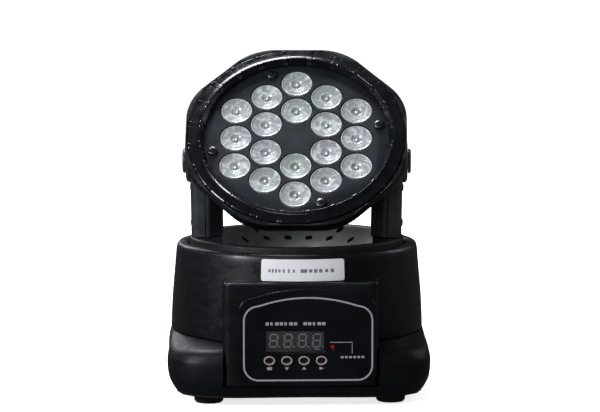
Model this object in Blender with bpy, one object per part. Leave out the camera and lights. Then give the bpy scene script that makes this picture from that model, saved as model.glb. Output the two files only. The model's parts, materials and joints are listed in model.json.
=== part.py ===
"""Moving head light: an LED wash head in a yoke on a turntable base.

Run with: blender --background --python part.py
Metres, +Z up, front towards -Y. The origin is on the floor under the pan axis.
"""

import math

import bmesh
import bpy
from mathutils import Matrix, Vector

MM = 0.001
GAP = 0.3 * MM                      # clearance between neighbouring pieces

# base
FOOT_H = 5.7 * MM
PLATE_Z = (6.0 * MM, 8.0 * MM)
PAD_R = 26.0 * MM                   # raised pad for a hanging bracket, under the base plate
PAD_T = 0.8 * MM
SKIRT_Z = (8.3 * MM, 41.0 * MM)
SKIRT_HALF = 88.8 * MM              # half width of the skirt at its bulge
SKIRT_POWER = 5.0                   # how square the skirt's plan is
SKIRT_WAIST = 0.02                  # how far the sides draw in between the corners
REBATE_R = 82.5 * MM                # housing radius where it enters the skirt
NOSE_HALF = 50.5 * MM
NOSE_Y = 86.3 * MM                  # the flat front and rear faces of the housing
NOSE_Z = (14.0 * MM, 82.2 * MM)
WALL = 2.5 * MM

# control panel on the front nose
PANEL_X = 4.4 * MM
PANEL_HALF = 45.0 * MM
PANEL_Z = (15.6 * MM, 78.7 * MM)
PANEL_T = 1.8 * MM
ARCH_R = 116.0 * MM
DISPLAY_C = (-4.2 * MM, 44.2 * MM)
DISPLAY_SIZE = (38.5 * MM, 14.2 * MM)
BUTTON_XS = [x * MM for x in (-20.7, -9.4, 1.8, 13.1)]
BUTTON_Z = 31.8 * MM
BUTTON_RX = 3.6 * MM
BUTTON_RZ = 2.9 * MM

# turntable and yoke
PAN_REST = math.radians(-3.0)       # the yoke rests turned slightly away from the control panel
DECK_Z = 103.4 * MM
DECK_R = 72.5 * MM
AXIS_Z = 153.7 * MM                 # height of the tilt axis
DISH_R = 83.5 * MM                  # the dish clears the head's swing about the tilt axis
DISH_T = 3.0 * MM
SLOTS_OUT = ((-29.2, -14.6, 0, 14.6, 29.2), 64.1)   # vent columns and their radius, in mm
SLOTS_IN = ((-36.5, -21.9, -7.3, 7.3, 21.9, 36.5), 58.6)
ARM_IN = 51.0 * MM
ARM_OUT = 71.6 * MM
ARM_SPLIT = 61.6 * MM
ARM_HALF = 18.0 * MM                # half depth of the arms, and radius of their tops
ARM_LEAN = 0.018                    # the arms lean outwards slightly as they rise
TRUNNION_R = 8.5 * MM

# head, in its own frame: forward is -Y, the tilt axis is local X
TILT_REST = math.radians(-42.5)
LENS_PITCH = 23.3 * MM
LENS_R = 10.5 * MM
FRAME_APOTHEM = 74.2 * MM
FRAME_CORNER_R = 38.0 * MM
FRAME_FRONT = 28.3 * MM
FRAME_BACK = 19.5 * MM
RING_IN_R = 62.0 * MM
RING_CREST_R = 65.0 * MM
RING_OUT_R = 72.8 * MM
PLATE_R = 65.5 * MM
SCREW_PCR = 56.6 * MM
SCREW_ANGLES = (11.5, 107.5, 191.5, 287.5)
SHELL_STATIONS = (                  # (distance behind the tilt axis, half width, half height)
    (-19.2 * MM, 48 * MM, 65 * MM), (0, 48 * MM, 50 * MM), (12 * MM, 48 * MM, 41 * MM),
    (22.5 * MM, 38 * MM, 33 * MM))
HEAD_N = 48                         # points round the head frame
FIN_COUNT = 9
FAN_HALF = 25.0 * MM
FAN_R = 22.5 * MM

# belt drives
PAN_PULLEY_R = 30.0 * MM
PAN_MOTOR_X = 47.0 * MM
PAN_MOTOR_PULLEY_R = 8.0 * MM
PAN_BELT_Z = (56.0 * MM, 62.0 * MM)
TILT_PULLEY_R = 11.5 * MM
TILT_MOTOR_PULLEY_R = 5.75 * MM
TILT_MOTOR_Z = 119.0 * MM
TILT_BELT_X = (66.6 * MM, 68.6 * MM)
BELT_T = 1.2 * MM


# ---------- mesh helpers ----------

def clear_scene():
    for thing in list(bpy.data.objects):
        bpy.data.objects.remove(thing, do_unlink=True)


def material(name, colour, roughness=0.5, metallic=0.0):
    made = bpy.data.materials.get(name)
    if made is None:
        made = bpy.data.materials.new(name)
        made.use_nodes = True
        shader = made.node_tree.nodes["Principled BSDF"]
        shader.inputs["Base Color"].default_value = (*colour, 1.0)
        shader.inputs["Roughness"].default_value = roughness
        shader.inputs["Metallic"].default_value = metallic
    return made


def place(name, bm, look, parent=None, smooth_deg=35):
    """Turn a bmesh into a named object, with its normals facing out."""
    bmesh.ops.recalc_face_normals(bm, faces=bm.faces)
    mesh = bpy.data.meshes.new(name)
    bm.to_mesh(mesh)
    bm.free()
    mesh.shade_smooth()
    mesh.set_sharp_from_angle(angle=math.radians(smooth_deg))
    made = bpy.data.objects.new(name, mesh)
    bpy.context.scene.collection.objects.link(made)
    made.data.materials.append(look)
    made.parent = parent
    return made


def guide(name, bm, parent=None):
    """A hidden solid that only cuts or joins."""
    made = place(name, bm, material("guide", (0.5, 0.5, 0.5)), parent)
    made.hide_render = True
    made.display_type = "WIRE"
    return made


def boolean(target, operation, tool):
    step = target.modifiers.new(operation.lower(), "BOOLEAN")
    step.operation = operation
    step.object = tool
    step.solver = "EXACT"


def skin(bm, rings, closed=False):
    """Bridge point rings of equal length. Ends are capped unless the rings close on themselves."""
    rows = [[bm.verts.new(p) for p in ring] for ring in rings]
    count = len(rows[0])
    pairs = list(zip(rows, rows[1:]))
    if closed:
        pairs.append((rows[-1], rows[0]))
    for low, high in pairs:
        for i in range(count):
            j = (i + 1) % count
            bm.faces.new((low[i], low[j], high[j], high[i]))
    if not closed:
        bm.faces.new(list(reversed(rows[0])))
        bm.faces.new(rows[-1])
    return bm


def arc(centre, radius, start_deg, end_deg, steps):
    """Points of an arc in a plane, both ends included."""
    points = []
    for i in range(steps + 1):
        a = math.radians(start_deg + (end_deg - start_deg) * i / steps)
        points.append((centre[0] + radius * math.cos(a), centre[1] + radius * math.sin(a)))
    return points


def circle(radius, count):
    return [(radius * math.cos(math.tau * i / count), radius * math.sin(math.tau * i / count))
            for i in range(count)]


def turn(profile, count, matrix=None, closed=True):
    """Turn (radius, height) points about Z. A closed profile makes a ring."""
    bm = bmesh.new()
    rings = [[(x, y, h) for x, y in circle(r, count)] for r, h in profile]
    skin(bm, rings, closed)
    if matrix is not None:
        bmesh.ops.transform(bm, matrix=matrix, verts=bm.verts)
    return bm


def slab(outline, low, high, matrix=None):
    """Extrude a flat outline along Z."""
    bm = bmesh.new()
    skin(bm, [[(x, y, h) for x, y in outline] for h in (low, high)])
    if matrix is not None:
        bmesh.ops.transform(bm, matrix=matrix, verts=bm.verts)
    return bm


def add_box(bm, low, high):
    corners = [(low[0], low[1]), (high[0], low[1]), (high[0], high[1]), (low[0], high[1])]
    skin(bm, [[(x, y, z) for x, y in corners] for z in (low[2], high[2])])
    return bm


def box(low, high):
    return add_box(bmesh.new(), low, high)


def rounded_box(low, high, radius, segments=2):
    bm = box(low, high)
    bmesh.ops.bevel(bm, geom=bm.edges[:], offset=radius, segments=segments, profile=0.5,
                    affect="EDGES", clamp_overlap=True)
    return bm


def facing(axis, at=(0, 0, 0)):
    """A matrix whose local Z looks along the world axis given, with local X kept level."""
    turns = {
        "-Y": Matrix.Rotation(math.pi / 2, 4, "X"),
        "+Y": Matrix.Rotation(-math.pi / 2, 4, "X"),
        "+X": Matrix.Rotation(math.pi / 2, 4, "Y"),
        "-X": Matrix.Rotation(-math.pi / 2, 4, "Y"),
        "+Z": Matrix.Identity(4),
    }
    return Matrix.Translation(Vector(at)) @ turns[axis]


def empty(name, at, rotation=(0, 0, 0), parent=None):
    made = bpy.data.objects.new(name, None)
    made.location = at
    made.rotation_euler = rotation
    made.parent = parent
    bpy.context.scene.collection.objects.link(made)
    return made


def belt_loop(radius_a, radius_b, distance, steps=6):
    """The outline round two circles, the second one at +X."""
    lean = math.degrees(math.acos((radius_a - radius_b) / distance))
    first = arc((0, 0), radius_a, lean, 360 - lean, steps * 4)
    second = arc((distance, 0), radius_b, -lean, lean, steps)
    return first + second


def belt(radius_a, radius_b, distance, low, high, matrix):
    bm = bmesh.new()
    inner = belt_loop(radius_a + GAP, radius_b + GAP, distance)
    outer = belt_loop(radius_a + GAP + BELT_T, radius_b + GAP + BELT_T, distance)
    rings = [[(x, y, h) for x, y in loop]
             for loop, h in ((inner, low), (outer, low), (outer, high), (inner, high))]
    skin(bm, rings, closed=True)
    bmesh.ops.transform(bm, matrix=matrix, verts=bm.verts)
    return bm


# ---------- looks ----------

def looks():
    return {
        "shell": material("shell_plastic", (0.022, 0.023, 0.026), 0.38),
        "head": material("head_metal", (0.012, 0.012, 0.014), 0.32),
        "arm": material("arm_plastic", (0.035, 0.036, 0.040), 0.45),
        "plate": material("lens_plate_paint", (0.020, 0.021, 0.024), 0.5),
        "deck": material("deck_plastic", (0.040, 0.040, 0.044), 0.5),
        "panel": material("panel_film", (0.018, 0.020, 0.026), 0.3),
        "lens": material("lens_acrylic", (0.75, 0.77, 0.78), 0.08),
        "screen": material("screen_acrylic", (0.10, 0.10, 0.11), 0.1),
        "module": material("display_black", (0.03, 0.03, 0.035), 0.4),
        "button": material("button_plastic", (0.5, 0.5, 0.5), 0.4),
        "label": material("label_paper", (0.85, 0.86, 0.88), 0.6),
        "rubber": material("foot_rubber", (0.02, 0.02, 0.02), 0.85),
        "board": material("circuit_board", (0.03, 0.14, 0.05), 0.45),
        "steel": material("zinc_steel", (0.6, 0.6, 0.62), 0.35, 1.0),
        "alloy": material("aluminium", (0.7, 0.71, 0.73), 0.4, 1.0),
        "screw": material("black_screw", (0.05, 0.05, 0.055), 0.35, 1.0),
        "belt": material("belt_rubber", (0.025, 0.025, 0.025), 0.8),
        "lamp": material("lamp_red", (0.5, 0.03, 0.02), 0.25),
    }


# ---------- base ----------

def skirt_ring(z, share, inset=0.0, radius=0.0, count=48):
    """One level of the skirt: share 0 is a circle of the radius, share 1 the bulged square."""
    points = []
    for i in range(count):
        a = math.tau * (i + 0.5) / count
        square = abs(math.cos(a)) ** SKIRT_POWER + abs(math.sin(a)) ** SKIRT_POWER
        bulged = SKIRT_HALF / square ** (1 / SKIRT_POWER)
        bulged *= 1 - SKIRT_WAIST * math.cos(2 * a) ** 2
        r = radius * (1 - share) + (bulged - inset) * share
        points.append((r * math.cos(a), r * math.sin(a), z))
    return points


def make_base_plate(look):
    bm = bmesh.new()
    skin(bm, [skirt_ring(z, 1.0, inset=6.5 * MM) for z in PLATE_Z])
    plate = place("base_plate", bm, look["steel"])
    pad = slab(circle(PAD_R, 32), PLATE_Z[0] - PAD_T, PLATE_Z[1] - 0.5 * MM)
    boolean(plate, "UNION", guide("join_bracket_pad", pad))


def make_feet(look):
    for number, (sx, sy) in enumerate(((-1, -1), (1, -1), (1, 1), (-1, 1)), 1):
        profile = [(8.5 * MM, 0), (9.5 * MM, 1 * MM), (10 * MM, FOOT_H)]
        foot = place(f"foot_{number}", turn(profile, 16, closed=False), look["rubber"])
        foot.location = (sx * 60 * MM, sy * 60 * MM, 0)


def nose_gap(name, sign):
    """The gap in the skirt where a nose of the housing comes through."""
    reach = NOSE_HALF + GAP
    low, high = sorted((sign * 60 * MM, sign * 100 * MM))
    return guide(name, box((-reach, low, NOSE_Z[0] - GAP), (reach, high, 60 * MM)))


def make_skirt(look):
    bottom, top = SKIRT_Z
    outer = [skirt_ring(z, share, inset, 85.4 * MM) for z, share, inset in (
        (bottom, 1, 5.0 * MM), (15 * MM, 1, 1.2 * MM), (24 * MM, 1, 0), (31 * MM, 1, 0.8 * MM),
        (37 * MM, 0.75, 0.5 * MM), (top, 0, 0))]
    inner = [skirt_ring(z, share, inset, REBATE_R + GAP) for z, share, inset in (
        (top, 0, 0), (36.5 * MM, 0, 0), (28 * MM, 1, 3.6 * MM), (bottom, 1, 7.4 * MM))]
    skirt = place("base_skirt", skin(bmesh.new(), outer + inner, closed=True), look["shell"])
    boolean(skirt, "DIFFERENCE", nose_gap("cut_nose_front", -1))
    boolean(skirt, "DIFFERENCE", nose_gap("cut_nose_rear", 1))


def nose_box(name, sign, shrink):
    """A nose's solid, or with shrink the hollow inside it, open towards the pan axis."""
    x = NOSE_HALF - shrink
    far = sign * (NOSE_Y - shrink)
    near = sign * ((62 if not shrink else 50) * MM)
    low = (-x, min(far, near), NOSE_Z[0] + shrink)
    high = (x, max(far, near), NOSE_Z[1] - shrink)
    bm = box(low, high)
    if not shrink:
        edges = [e for e in bm.edges if all(abs(v.co.y - far) < 1e-6 for v in e.verts)]
        bmesh.ops.bevel(bm, geom=edges, offset=2.0 * MM, segments=3, profile=0.5, affect="EDGES")
    return guide(name, bm)


def make_housing(look):
    profile = [(82.5, 30), (82.5, 41.3), (85.2, 41.3), (85.0, 50), (84.2, 65), (82.7, 82),
               (81.7, 94), (81.0, 98.2), (79.6, 99.7),
               (75.1, 99.7), (73.6, 98.4), (73.6, 86), (75.9, 86), (76.3, 95.8), (78.8, 95.8),
               (80.0, 82), (81.6, 62), (82.0, 45), (79.9, 42.5), (79.9, 30)]
    housing = place("base_housing", turn([(r * MM, z * MM) for r, z in profile], 48), look["shell"])
    for end, sign in (("front", -1), ("rear", 1)):
        boolean(housing, "UNION", nose_box(f"join_nose_{end}", sign, 0))
        boolean(housing, "DIFFERENCE", nose_box(f"cut_hollow_{end}", sign, WALL))
    windows = box((-37 * MM, -95 * MM, 21 * MM), (43 * MM, -80 * MM, 67 * MM))
    add_box(windows, (-42 * MM, 80 * MM, 21 * MM), (42 * MM, 95 * MM, 71 * MM))
    boolean(housing, "DIFFERENCE", guide("cut_windows", windows))


def panel_outline(half, bottom, crest, arch_r, corner):
    """A plate with a straight bottom, round corners and an arched top, centred on x = 0."""
    shoulder = crest - (arch_r - math.sqrt(arch_r ** 2 - (half - corner) ** 2))
    lean = math.degrees(math.asin((half - corner) / arch_r))
    points = arc((-half + corner, bottom + corner), corner, 180, 270, 3)
    points += arc((half - corner, bottom + corner), corner, 270, 360, 3)
    points += arc((half - corner, shoulder - corner), corner, 0, 90 - lean, 3)
    points += arc((0, crest - arch_r), arch_r, 90 - lean, 90 + lean, 14)[1:-1]
    points += arc((-half + corner, shoulder - corner), corner, 90 + lean, 180, 3)
    return points


def oval(centre, rx, rz, count=16):
    return [(centre[0] + rx * x, centre[1] + rz * z) for x, z in circle(1.0, count)]


def make_control_panel(look):
    front = facing("-Y", (0, -NOSE_Y - GAP, 0))
    outline = panel_outline(PANEL_HALF, *PANEL_Z, ARCH_R, 9 * MM)
    outline = [(x + PANEL_X, z) for x, z in outline]
    panel = place("control_panel", slab(outline, 0, PANEL_T, front), look["panel"])
    w, h = DISPLAY_SIZE
    x, z = DISPLAY_C
    holes = box((x - w / 2, -95 * MM, z - h / 2), (x + w / 2, -80 * MM, z + h / 2))
    for bx in BUTTON_XS:
        ring = oval((bx, BUTTON_Z), BUTTON_RX + GAP, BUTTON_RZ + GAP)
        skin(holes, [[(px, y, pz) for px, pz in ring] for y in (-80 * MM, -95 * MM)])
    skin(holes, [[(px, y, pz) for px, pz in oval((20.5 * MM, 40.6 * MM), 1.8 * MM, 1.8 * MM, 12)]
                 for y in (-80 * MM, -95 * MM)])
    bmesh.ops.recalc_face_normals(holes, faces=holes.faces)
    boolean(panel, "DIFFERENCE", guide("cut_panel_holes", holes))

    face = -NOSE_Y - GAP - PANEL_T
    window = box((x - w / 2 + GAP, face + 0.2 * MM, z - h / 2 + GAP),
                 (x + w / 2 - GAP, face + 1.4 * MM, z + h / 2 - GAP))
    place("display_window", window, look["screen"])
    module = box((x - w / 2 + GAP, face + 1.7 * MM, z - h / 2 + GAP),
                 (x + w / 2 - GAP, -78.6 * MM, z + h / 2 - GAP))
    place("display_module", module, look["module"])
    lamp = turn([(1.5 * MM, -9 * MM), (1.5 * MM, 0.4 * MM), (0.9 * MM, 1.1 * MM)], 12,
                facing("-Y", (20.5 * MM, face, 40.6 * MM)), closed=False)
    place("signal_lamp", lamp, look["lamp"])
    place("control_board", box((-34 * MM, -78.2 * MM, 23 * MM), (40 * MM, -76.6 * MM, 65 * MM)),
          look["board"])
    for label, bx in zip(("menu", "down", "up", "enter"), BUTTON_XS):
        rings = []
        for depth, scale in ((-8.2, 1.0), (0.7, 1.0), (1.1, 0.86)):
            ring = oval((0, 0), BUTTON_RX * scale, BUTTON_RZ * scale)
            rings.append([(px, -depth * MM, pz) for px, pz in ring])
        cap = place(f"button_{label}", skin(bmesh.new(), rings), look["button"])
        cap.location = (bx, face, BUTTON_Z)


def make_label(look):
    """A thin label bent round the collar."""
    levels = ((82.9 * MM, 83.0 * MM), (97.0 * MM, 81.8 * MM))
    rings = []
    for i in range(13):
        a = math.radians(-17.9 + (18.4 + 19.2) * i / 12)
        ring = []
        for thick, order in ((0.15 * MM, levels), (0.55 * MM, levels[::-1])):
            for z, r in order:
                ring.append(((r + thick) * math.sin(a), -(r + thick) * math.cos(a), z))
        rings.append(ring)
    place("label_sticker", skin(bmesh.new(), rings), look["label"])


def socket_hole(bm, x, z, r, count=20):
    skin(bm, [[(px, y, pz) for px, pz in oval((x, z), r, r, count)] for y in (80 * MM, 95 * MM)])


def make_rear_panel(look):
    face = NOSE_Y + GAP
    outline = panel_outline(46 * MM, 16 * MM, 78 * MM, 900 * MM, 4 * MM)
    panel = place("rear_panel", slab([(x, -z) for x, z in outline], 0, 1.5 * MM,
                                     facing("+Y", (0, face, 0))), look["panel"])
    cuts = bmesh.new()
    socket_hole(cuts, -20 * MM, 57 * MM, 11.3 * MM)
    socket_hole(cuts, 20 * MM, 57 * MM, 11.3 * MM)
    add_box(cuts, (-37.3 * MM, 80 * MM, 22.7 * MM), (-9.7 * MM, 95 * MM, 42.3 * MM))
    add_box(cuts, (15.7 * MM, 80 * MM, 22.7 * MM), (28.3 * MM, 95 * MM, 41.3 * MM))
    bmesh.ops.recalc_face_normals(cuts, faces=cuts.faces)
    boolean(panel, "DIFFERENCE", guide("cut_rear_panel", cuts))

    out = face + 1.5 * MM
    inlet = place("power_inlet", box((-37 * MM, 66 * MM, 23 * MM), (-10 * MM, out + 1 * MM, 42 * MM)),
                  look["module"])
    pocket = rounded_box((-35.5 * MM, 72 * MM, 24.5 * MM), (-11.5 * MM, 95 * MM, 40.5 * MM), 2 * MM, 1)
    boolean(inlet, "DIFFERENCE", guide("cut_inlet", pocket))
    pins = bmesh.new()
    for x, z in ((-30.5, 30.0), (-23.5, 34.5), (-16.5, 30.0)):
        add_box(pins, ((x - 1) * MM, 68 * MM, (z - 2) * MM), ((x + 1) * MM, 81.5 * MM, (z + 2) * MM))
    boolean(inlet, "UNION", guide("join_inlet_pins", pins))

    for name, x, depth in (("dmx_input", -20, 74), ("dmx_output", 20, 82)):
        body = [(3, 64), (11, 64), (11, out / MM), (13, out / MM + 0.3), (13, out / MM + 1.3),
                (8.2, out / MM + 1.3), (8.2, depth), (3, depth)]
        if name == "dmx_output":
            body = [(1.2, 64), (11, 64), (11, out / MM), (13, out / MM + 0.3), (13, out / MM + 1.3),
                    (9, out / MM + 1.3), (9, depth), (7.6, depth), (7.6, out / MM + 0.9),
                    (1.2, out / MM + 0.9)]
        made = turn([(r * MM, h * MM) for r, h in body], 20, facing("+Y", (x * MM, 0, 57 * MM)))
        place(name, made, look["module"])

    frame = box((16 * MM, 70 * MM, 23 * MM), (28 * MM, out + 1 * MM, 41 * MM))
    frame = place("switch_frame", frame, look["module"])
    well = box((17.8 * MM, 74 * MM, 24.8 * MM), (26.2 * MM, 95 * MM, 39.2 * MM))
    boolean(frame, "DIFFERENCE", guide("cut_switch_well", well))
    pivot = empty("switch_axis", (22 * MM, 84 * MM, 32 * MM), (math.radians(-9), 0, 0))
    rocker = [(-6.4, 3.2), (-2.4, 4.6), (0, 5.0), (2.4, 4.6), (6.4, 3.2), (6.2, 0), (3, -3), (-3, -3),
              (-6.2, 0)]
    rocker = [(z * MM, y * MM) for z, y in rocker]
    bm = skin(bmesh.new(), [[(x, y, z) for z, y in rocker] for x in (-3.8 * MM, 3.8 * MM)])
    place("power_switch", bm, look["lamp"], pivot)


def make_inner_base(look):
    place("power_supply", rounded_box((-66 * MM, -34 * MM, 8.6 * MM), (-22 * MM, 36 * MM, 42 * MM),
                                      1 * MM, 1), look["alloy"])
    legs = [(-72, 8.3), (-69.5, 8.3), (-69.5, 46), (69.5, 46), (69.5, 8.3), (72, 8.3), (72, 49), (-72, 49)]
    bm = skin(bmesh.new(), [[(x * MM, y, z * MM) for x, z in legs] for y in (-24 * MM, 24 * MM)])
    bridge = place("pan_bridge", bm, look["steel"])
    holes = slab(circle(17.6 * MM, 24), 40 * MM, 55 * MM)
    skin(holes, [[(x + PAN_MOTOR_X, y, z) for x, y in circle(3.2 * MM, 12)] for z in (40 * MM, 55 * MM)])
    boolean(bridge, "DIFFERENCE", guide("cut_bridge", holes))
    bearing = [(10.8, 43.5), (17.0, 43.5), (17.0, 52.0), (10.8, 52.0)]
    place("pan_bearing", turn([(r * MM, z * MM) for r, z in bearing], 24), look["steel"])
    motor = rounded_box((PAN_MOTOR_X - 19 * MM, -19 * MM, 11 * MM),
                        (PAN_MOTOR_X + 19 * MM, 19 * MM, 45.6 * MM), 3 * MM, 1)
    place("pan_motor", motor, look["steel"])
    axis = empty("pan_motor_axis", (PAN_MOTOR_X, 0, 0))
    low, high = (z / MM for z in PAN_BELT_Z)
    r = PAN_MOTOR_PULLEY_R / MM
    profile = [(2.5, 46.2), (2.5, low - 1.6), (r + 1.2, low - 1.6), (r + 1.2, low - 0.4), (r, low - 0.4),
               (r, high + 0.4)]
    place("pan_motor_pulley", turn([(a * MM, b * MM) for a, b in profile], 16, closed=False),
          look["alloy"], axis)
    place("pan_belt", belt(PAN_PULLEY_R, PAN_MOTOR_PULLEY_R, PAN_MOTOR_X, *PAN_BELT_Z,
                           Matrix.Identity(4)), look["belt"])


# ---------- turntable and yoke ----------

def dish_arc(radius, start_r, end_r, steps):
    """Points (r, z) on a sphere about the middle of the tilt axis, below it."""
    first, last = (math.asin(r / radius) for r in (start_r, end_r))
    return [(radius * math.sin(first + (last - first) * i / steps),
             AXIS_Z - radius * math.cos(first + (last - first) * i / steps)) for i in range(steps + 1)]


def make_turntable(look, pan):
    edge = math.sqrt(DISH_R ** 2 - (AXIS_Z - DECK_Z) ** 2)
    top = dish_arc(DISH_R, 10.9 * MM, edge, 6)
    top += [(DECK_R - 1.2 * MM, DECK_Z), (DECK_R, DECK_Z - 1.2 * MM), (DECK_R, 90 * MM)]
    under = [(DECK_R - 2.2 * MM, 90 * MM), (DECK_R - 2.2 * MM, 100 * MM)]
    under += dish_arc(DISH_R + DISH_T, 20 * MM, 66 * MM, 4)[::-1]
    under += [(20 * MM, 63.4 * MM), (10.9 * MM, 63.4 * MM)]
    table = place("turntable", turn(top + under, 48), look["deck"], pan)
    seats = bmesh.new()
    for sign in (-1, 1):
        low, high = sorted((sign * (ARM_IN + 0.4 * MM), sign * 67.0 * MM))
        add_box(seats, (low, -ARM_HALF + 1 * MM, 86.6 * MM), (high, ARM_HALF - 1 * MM, DECK_Z))
    boolean(table, "UNION", guide("join_arm_seats", seats, pan))
    slots = bmesh.new()
    for sign in (-1, 1):
        for columns, r in (SLOTS_OUT, SLOTS_IN):
            for x in columns:
                y = sign * math.sqrt(r * r - x * x)
                add_box(slots, ((x - 2.4) * MM, (y - 1.3) * MM, 76 * MM),
                        ((x + 2.4) * MM, (y + 1.3) * MM, 110 * MM))
    boolean(table, "DIFFERENCE", guide("cut_deck_slots", slots, pan))
    shaft = [(7.2, 24), (10.5, 24), (10.5, 70.6), (7.2, 70.6)]
    place("pan_shaft", turn([(r * MM, z * MM) for r, z in shaft], 24), look["steel"], pan)
    low, high = (z / MM for z in PAN_BELT_Z)
    r = PAN_PULLEY_R / MM
    pulley = [(10.8, 53), (17, 53), (17, low - 1.4), (r + 1.3, low - 1.4), (r + 1.3, low - 0.4),
              (r, low - 0.4), (r, high + 1.1), (10.8, high + 1.1)]
    place("pan_pulley", turn([(a * MM, b * MM) for a, b in pulley], 32), look["alloy"], pan)


def arm_outline(half, bottom, x, side):
    """One station of an arm cover: a bar with a round top about the tilt axis."""
    points = [(half, bottom)] + arc((0, AXIS_Z), half, 0, 180, 12) + [(-half, bottom)]
    return [(side * (x + ARM_LEAN * (z - AXIS_Z)), y, z) for y, z in points]


def make_arm(name, side, look, pan):
    foot = DECK_Z + GAP
    floor = foot + 2 * MM
    wall = 2 * MM
    inner = [(ARM_SPLIT, ARM_HALF), (ARM_IN + 7.6 * MM, ARM_HALF), (ARM_IN, 10.4 * MM)]
    hollow = [(ARM_IN + wall, 8.6 * MM), (ARM_IN + 8.4 * MM, ARM_HALF - wall), (ARM_SPLIT, ARM_HALF - wall)]
    rings = [arm_outline(h, foot, x, side) for x, h in inner]
    rings += [arm_outline(h, floor, x, side) for x, h in hollow]
    cover = bmesh.new()
    skin_tray(cover, rings, len(inner))
    cover = place(f"{name}_inner_cover", cover, look["arm"], pan)
    hole = slab(circle(TRUNNION_R + 0.6 * MM, 28), 40 * MM, 60 * MM, facing("+X", (0, 0, AXIS_Z)))
    bmesh.ops.scale(hole, vec=(side, 1, 1), verts=hole.verts)
    bmesh.ops.recalc_face_normals(hole, faces=hole.faces)
    boolean(cover, "DIFFERENCE", guide(f"cut_{name}_hole", hole, pan))

    split = ARM_SPLIT + GAP
    outer = [(split, ARM_HALF), (ARM_OUT - 3.6 * MM, ARM_HALF), (ARM_OUT, ARM_HALF - 4 * MM)]
    hollow = [(ARM_OUT - 1.4 * MM, ARM_HALF - 5.0 * MM), (ARM_OUT - 4 * MM, ARM_HALF - wall),
              (split, ARM_HALF - wall)]
    rings = [arm_outline(h, foot, x, side) for x, h in outer]
    rings += [arm_outline(h, floor, x, side) for x, h in hollow]
    cover = bmesh.new()
    skin_tray(cover, rings, len(outer))
    cover = place(f"{name}_outer_cover", cover, look["arm"], pan)
    boss = [(14.6, 70.4), (14.6, 73.6), (12.8, 74.9)]
    boss = turn([(r * MM, x * MM) for r, x in boss], 28, facing("+X", (0, 0, AXIS_Z)), closed=False)
    bmesh.ops.scale(boss, vec=(side, 1, 1), verts=boss.verts)
    bmesh.ops.recalc_face_normals(boss, faces=boss.faces)
    boolean(cover, "UNION", guide(f"join_{name}_boss", boss, pan))

    cap = turn([(8.3 * MM, 75.2 * MM), (8.3 * MM, 76.4 * MM), (7.2 * MM, 77.2 * MM)], 24,
               facing("+X", (0, 0, AXIS_Z)), closed=False)
    bmesh.ops.scale(cap, vec=(side, 1, 1), verts=cap.verts)
    place(f"{name}_pivot_cap", cap, look["arm"], pan)

    bracket = [(11 * MM, 106.5 * MM)] + arc((0, AXIS_Z), 11 * MM, 0, 180, 8) + [(-11 * MM, 106.5 * MM)]
    bm = skin(bmesh.new(), [[(side * x, y, z) for y, z in bracket] for x in (64.9 * MM, 66.1 * MM)])
    plate = place(f"{name}_bracket", bm, look["steel"], pan)
    hole = slab(circle(6.8 * MM, 16), 60 * MM, 70 * MM, facing("+X", (0, 0, AXIS_Z)))
    skin(hole, [[(x, y, z + TILT_MOTOR_Z) for y, z in circle(2.6 * MM, 12)] for x in (60 * MM, 70 * MM)])
    bmesh.ops.scale(hole, vec=(side, 1, 1), verts=hole.verts)
    bmesh.ops.recalc_face_normals(hole, faces=hole.faces)
    boolean(plate, "DIFFERENCE", guide(f"cut_{name}_bracket", hole, pan))


def skin_tray(bm, rings, outer_count):
    """Skin an open tray: the first rings are its outside, from the rim in, the rest its hollow."""
    rows = [[bm.verts.new(p) for p in ring] for ring in rings]
    count = len(rows[0])
    pairs = [(rows[i], rows[i + 1]) for i in range(len(rows) - 1) if i != outer_count - 1]
    pairs.append((rows[-1], rows[0]))
    for low, high in pairs:
        for i in range(count):
            j = (i + 1) % count
            bm.faces.new((low[i], low[j], high[j], high[i]))
    bm.faces.new(rows[outer_count - 1])
    bm.faces.new(rows[outer_count])


def make_tilt_drive(look, pan):
    """The tilt motor and its belt, inside the left arm."""
    left = facing("-X", (0, 0, TILT_MOTOR_Z))
    can = [(12.6, 58.0), (13.2, 58.6), (13.2, 64.0), (12.6, 64.6)]
    place("tilt_motor", turn([(r * MM, x * MM) for r, x in can], 28, left, closed=False),
          look["steel"], pan)
    axis = empty("tilt_motor_axis", (0, 0, TILT_MOTOR_Z), parent=pan)
    r = TILT_MOTOR_PULLEY_R / MM
    pulley = [(2.2, 64.9), (2.2, 66.4), (r, 66.4), (r, 68.8)]
    bm = turn([(a * MM, x * MM) for a, x in pulley], 20, facing("-X"), closed=False)
    place("tilt_motor_pulley", bm, look["alloy"], axis)
    across = Matrix.Rotation(math.pi / 2, 4, "Y") @ Matrix.Scale(-1, 4, (0, 0, 1))
    frame = Matrix.Translation((0, 0, AXIS_Z)) @ across
    place("tilt_belt", belt(TILT_PULLEY_R, TILT_MOTOR_PULLEY_R, AXIS_Z - TILT_MOTOR_Z, *TILT_BELT_X,
                            frame), look["belt"], pan)


# ---------- head ----------

def octagon_ring(y, apothem, count=40):
    """The head frame's rounded octagon, by its distance from the middle in each direction."""
    points = []
    flat = apothem - FRAME_CORNER_R
    corner = flat / math.cos(math.pi / 8)
    flat_end = math.atan(flat * math.tan(math.pi / 8) / apothem)
    for i in range(count):
        a = math.tau * (i + 0.5) / count
        local = a % (math.pi / 4)
        local = min(local, math.pi / 4 - local)
        off = math.pi / 8 - local
        r = corner * math.cos(off) + math.sqrt(FRAME_CORNER_R ** 2 - (corner * math.sin(off)) ** 2)
        if local < flat_end:
            r = apothem / math.cos(local)
        points.append((r * math.cos(a), y, r * math.sin(a)))
    return points


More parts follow.
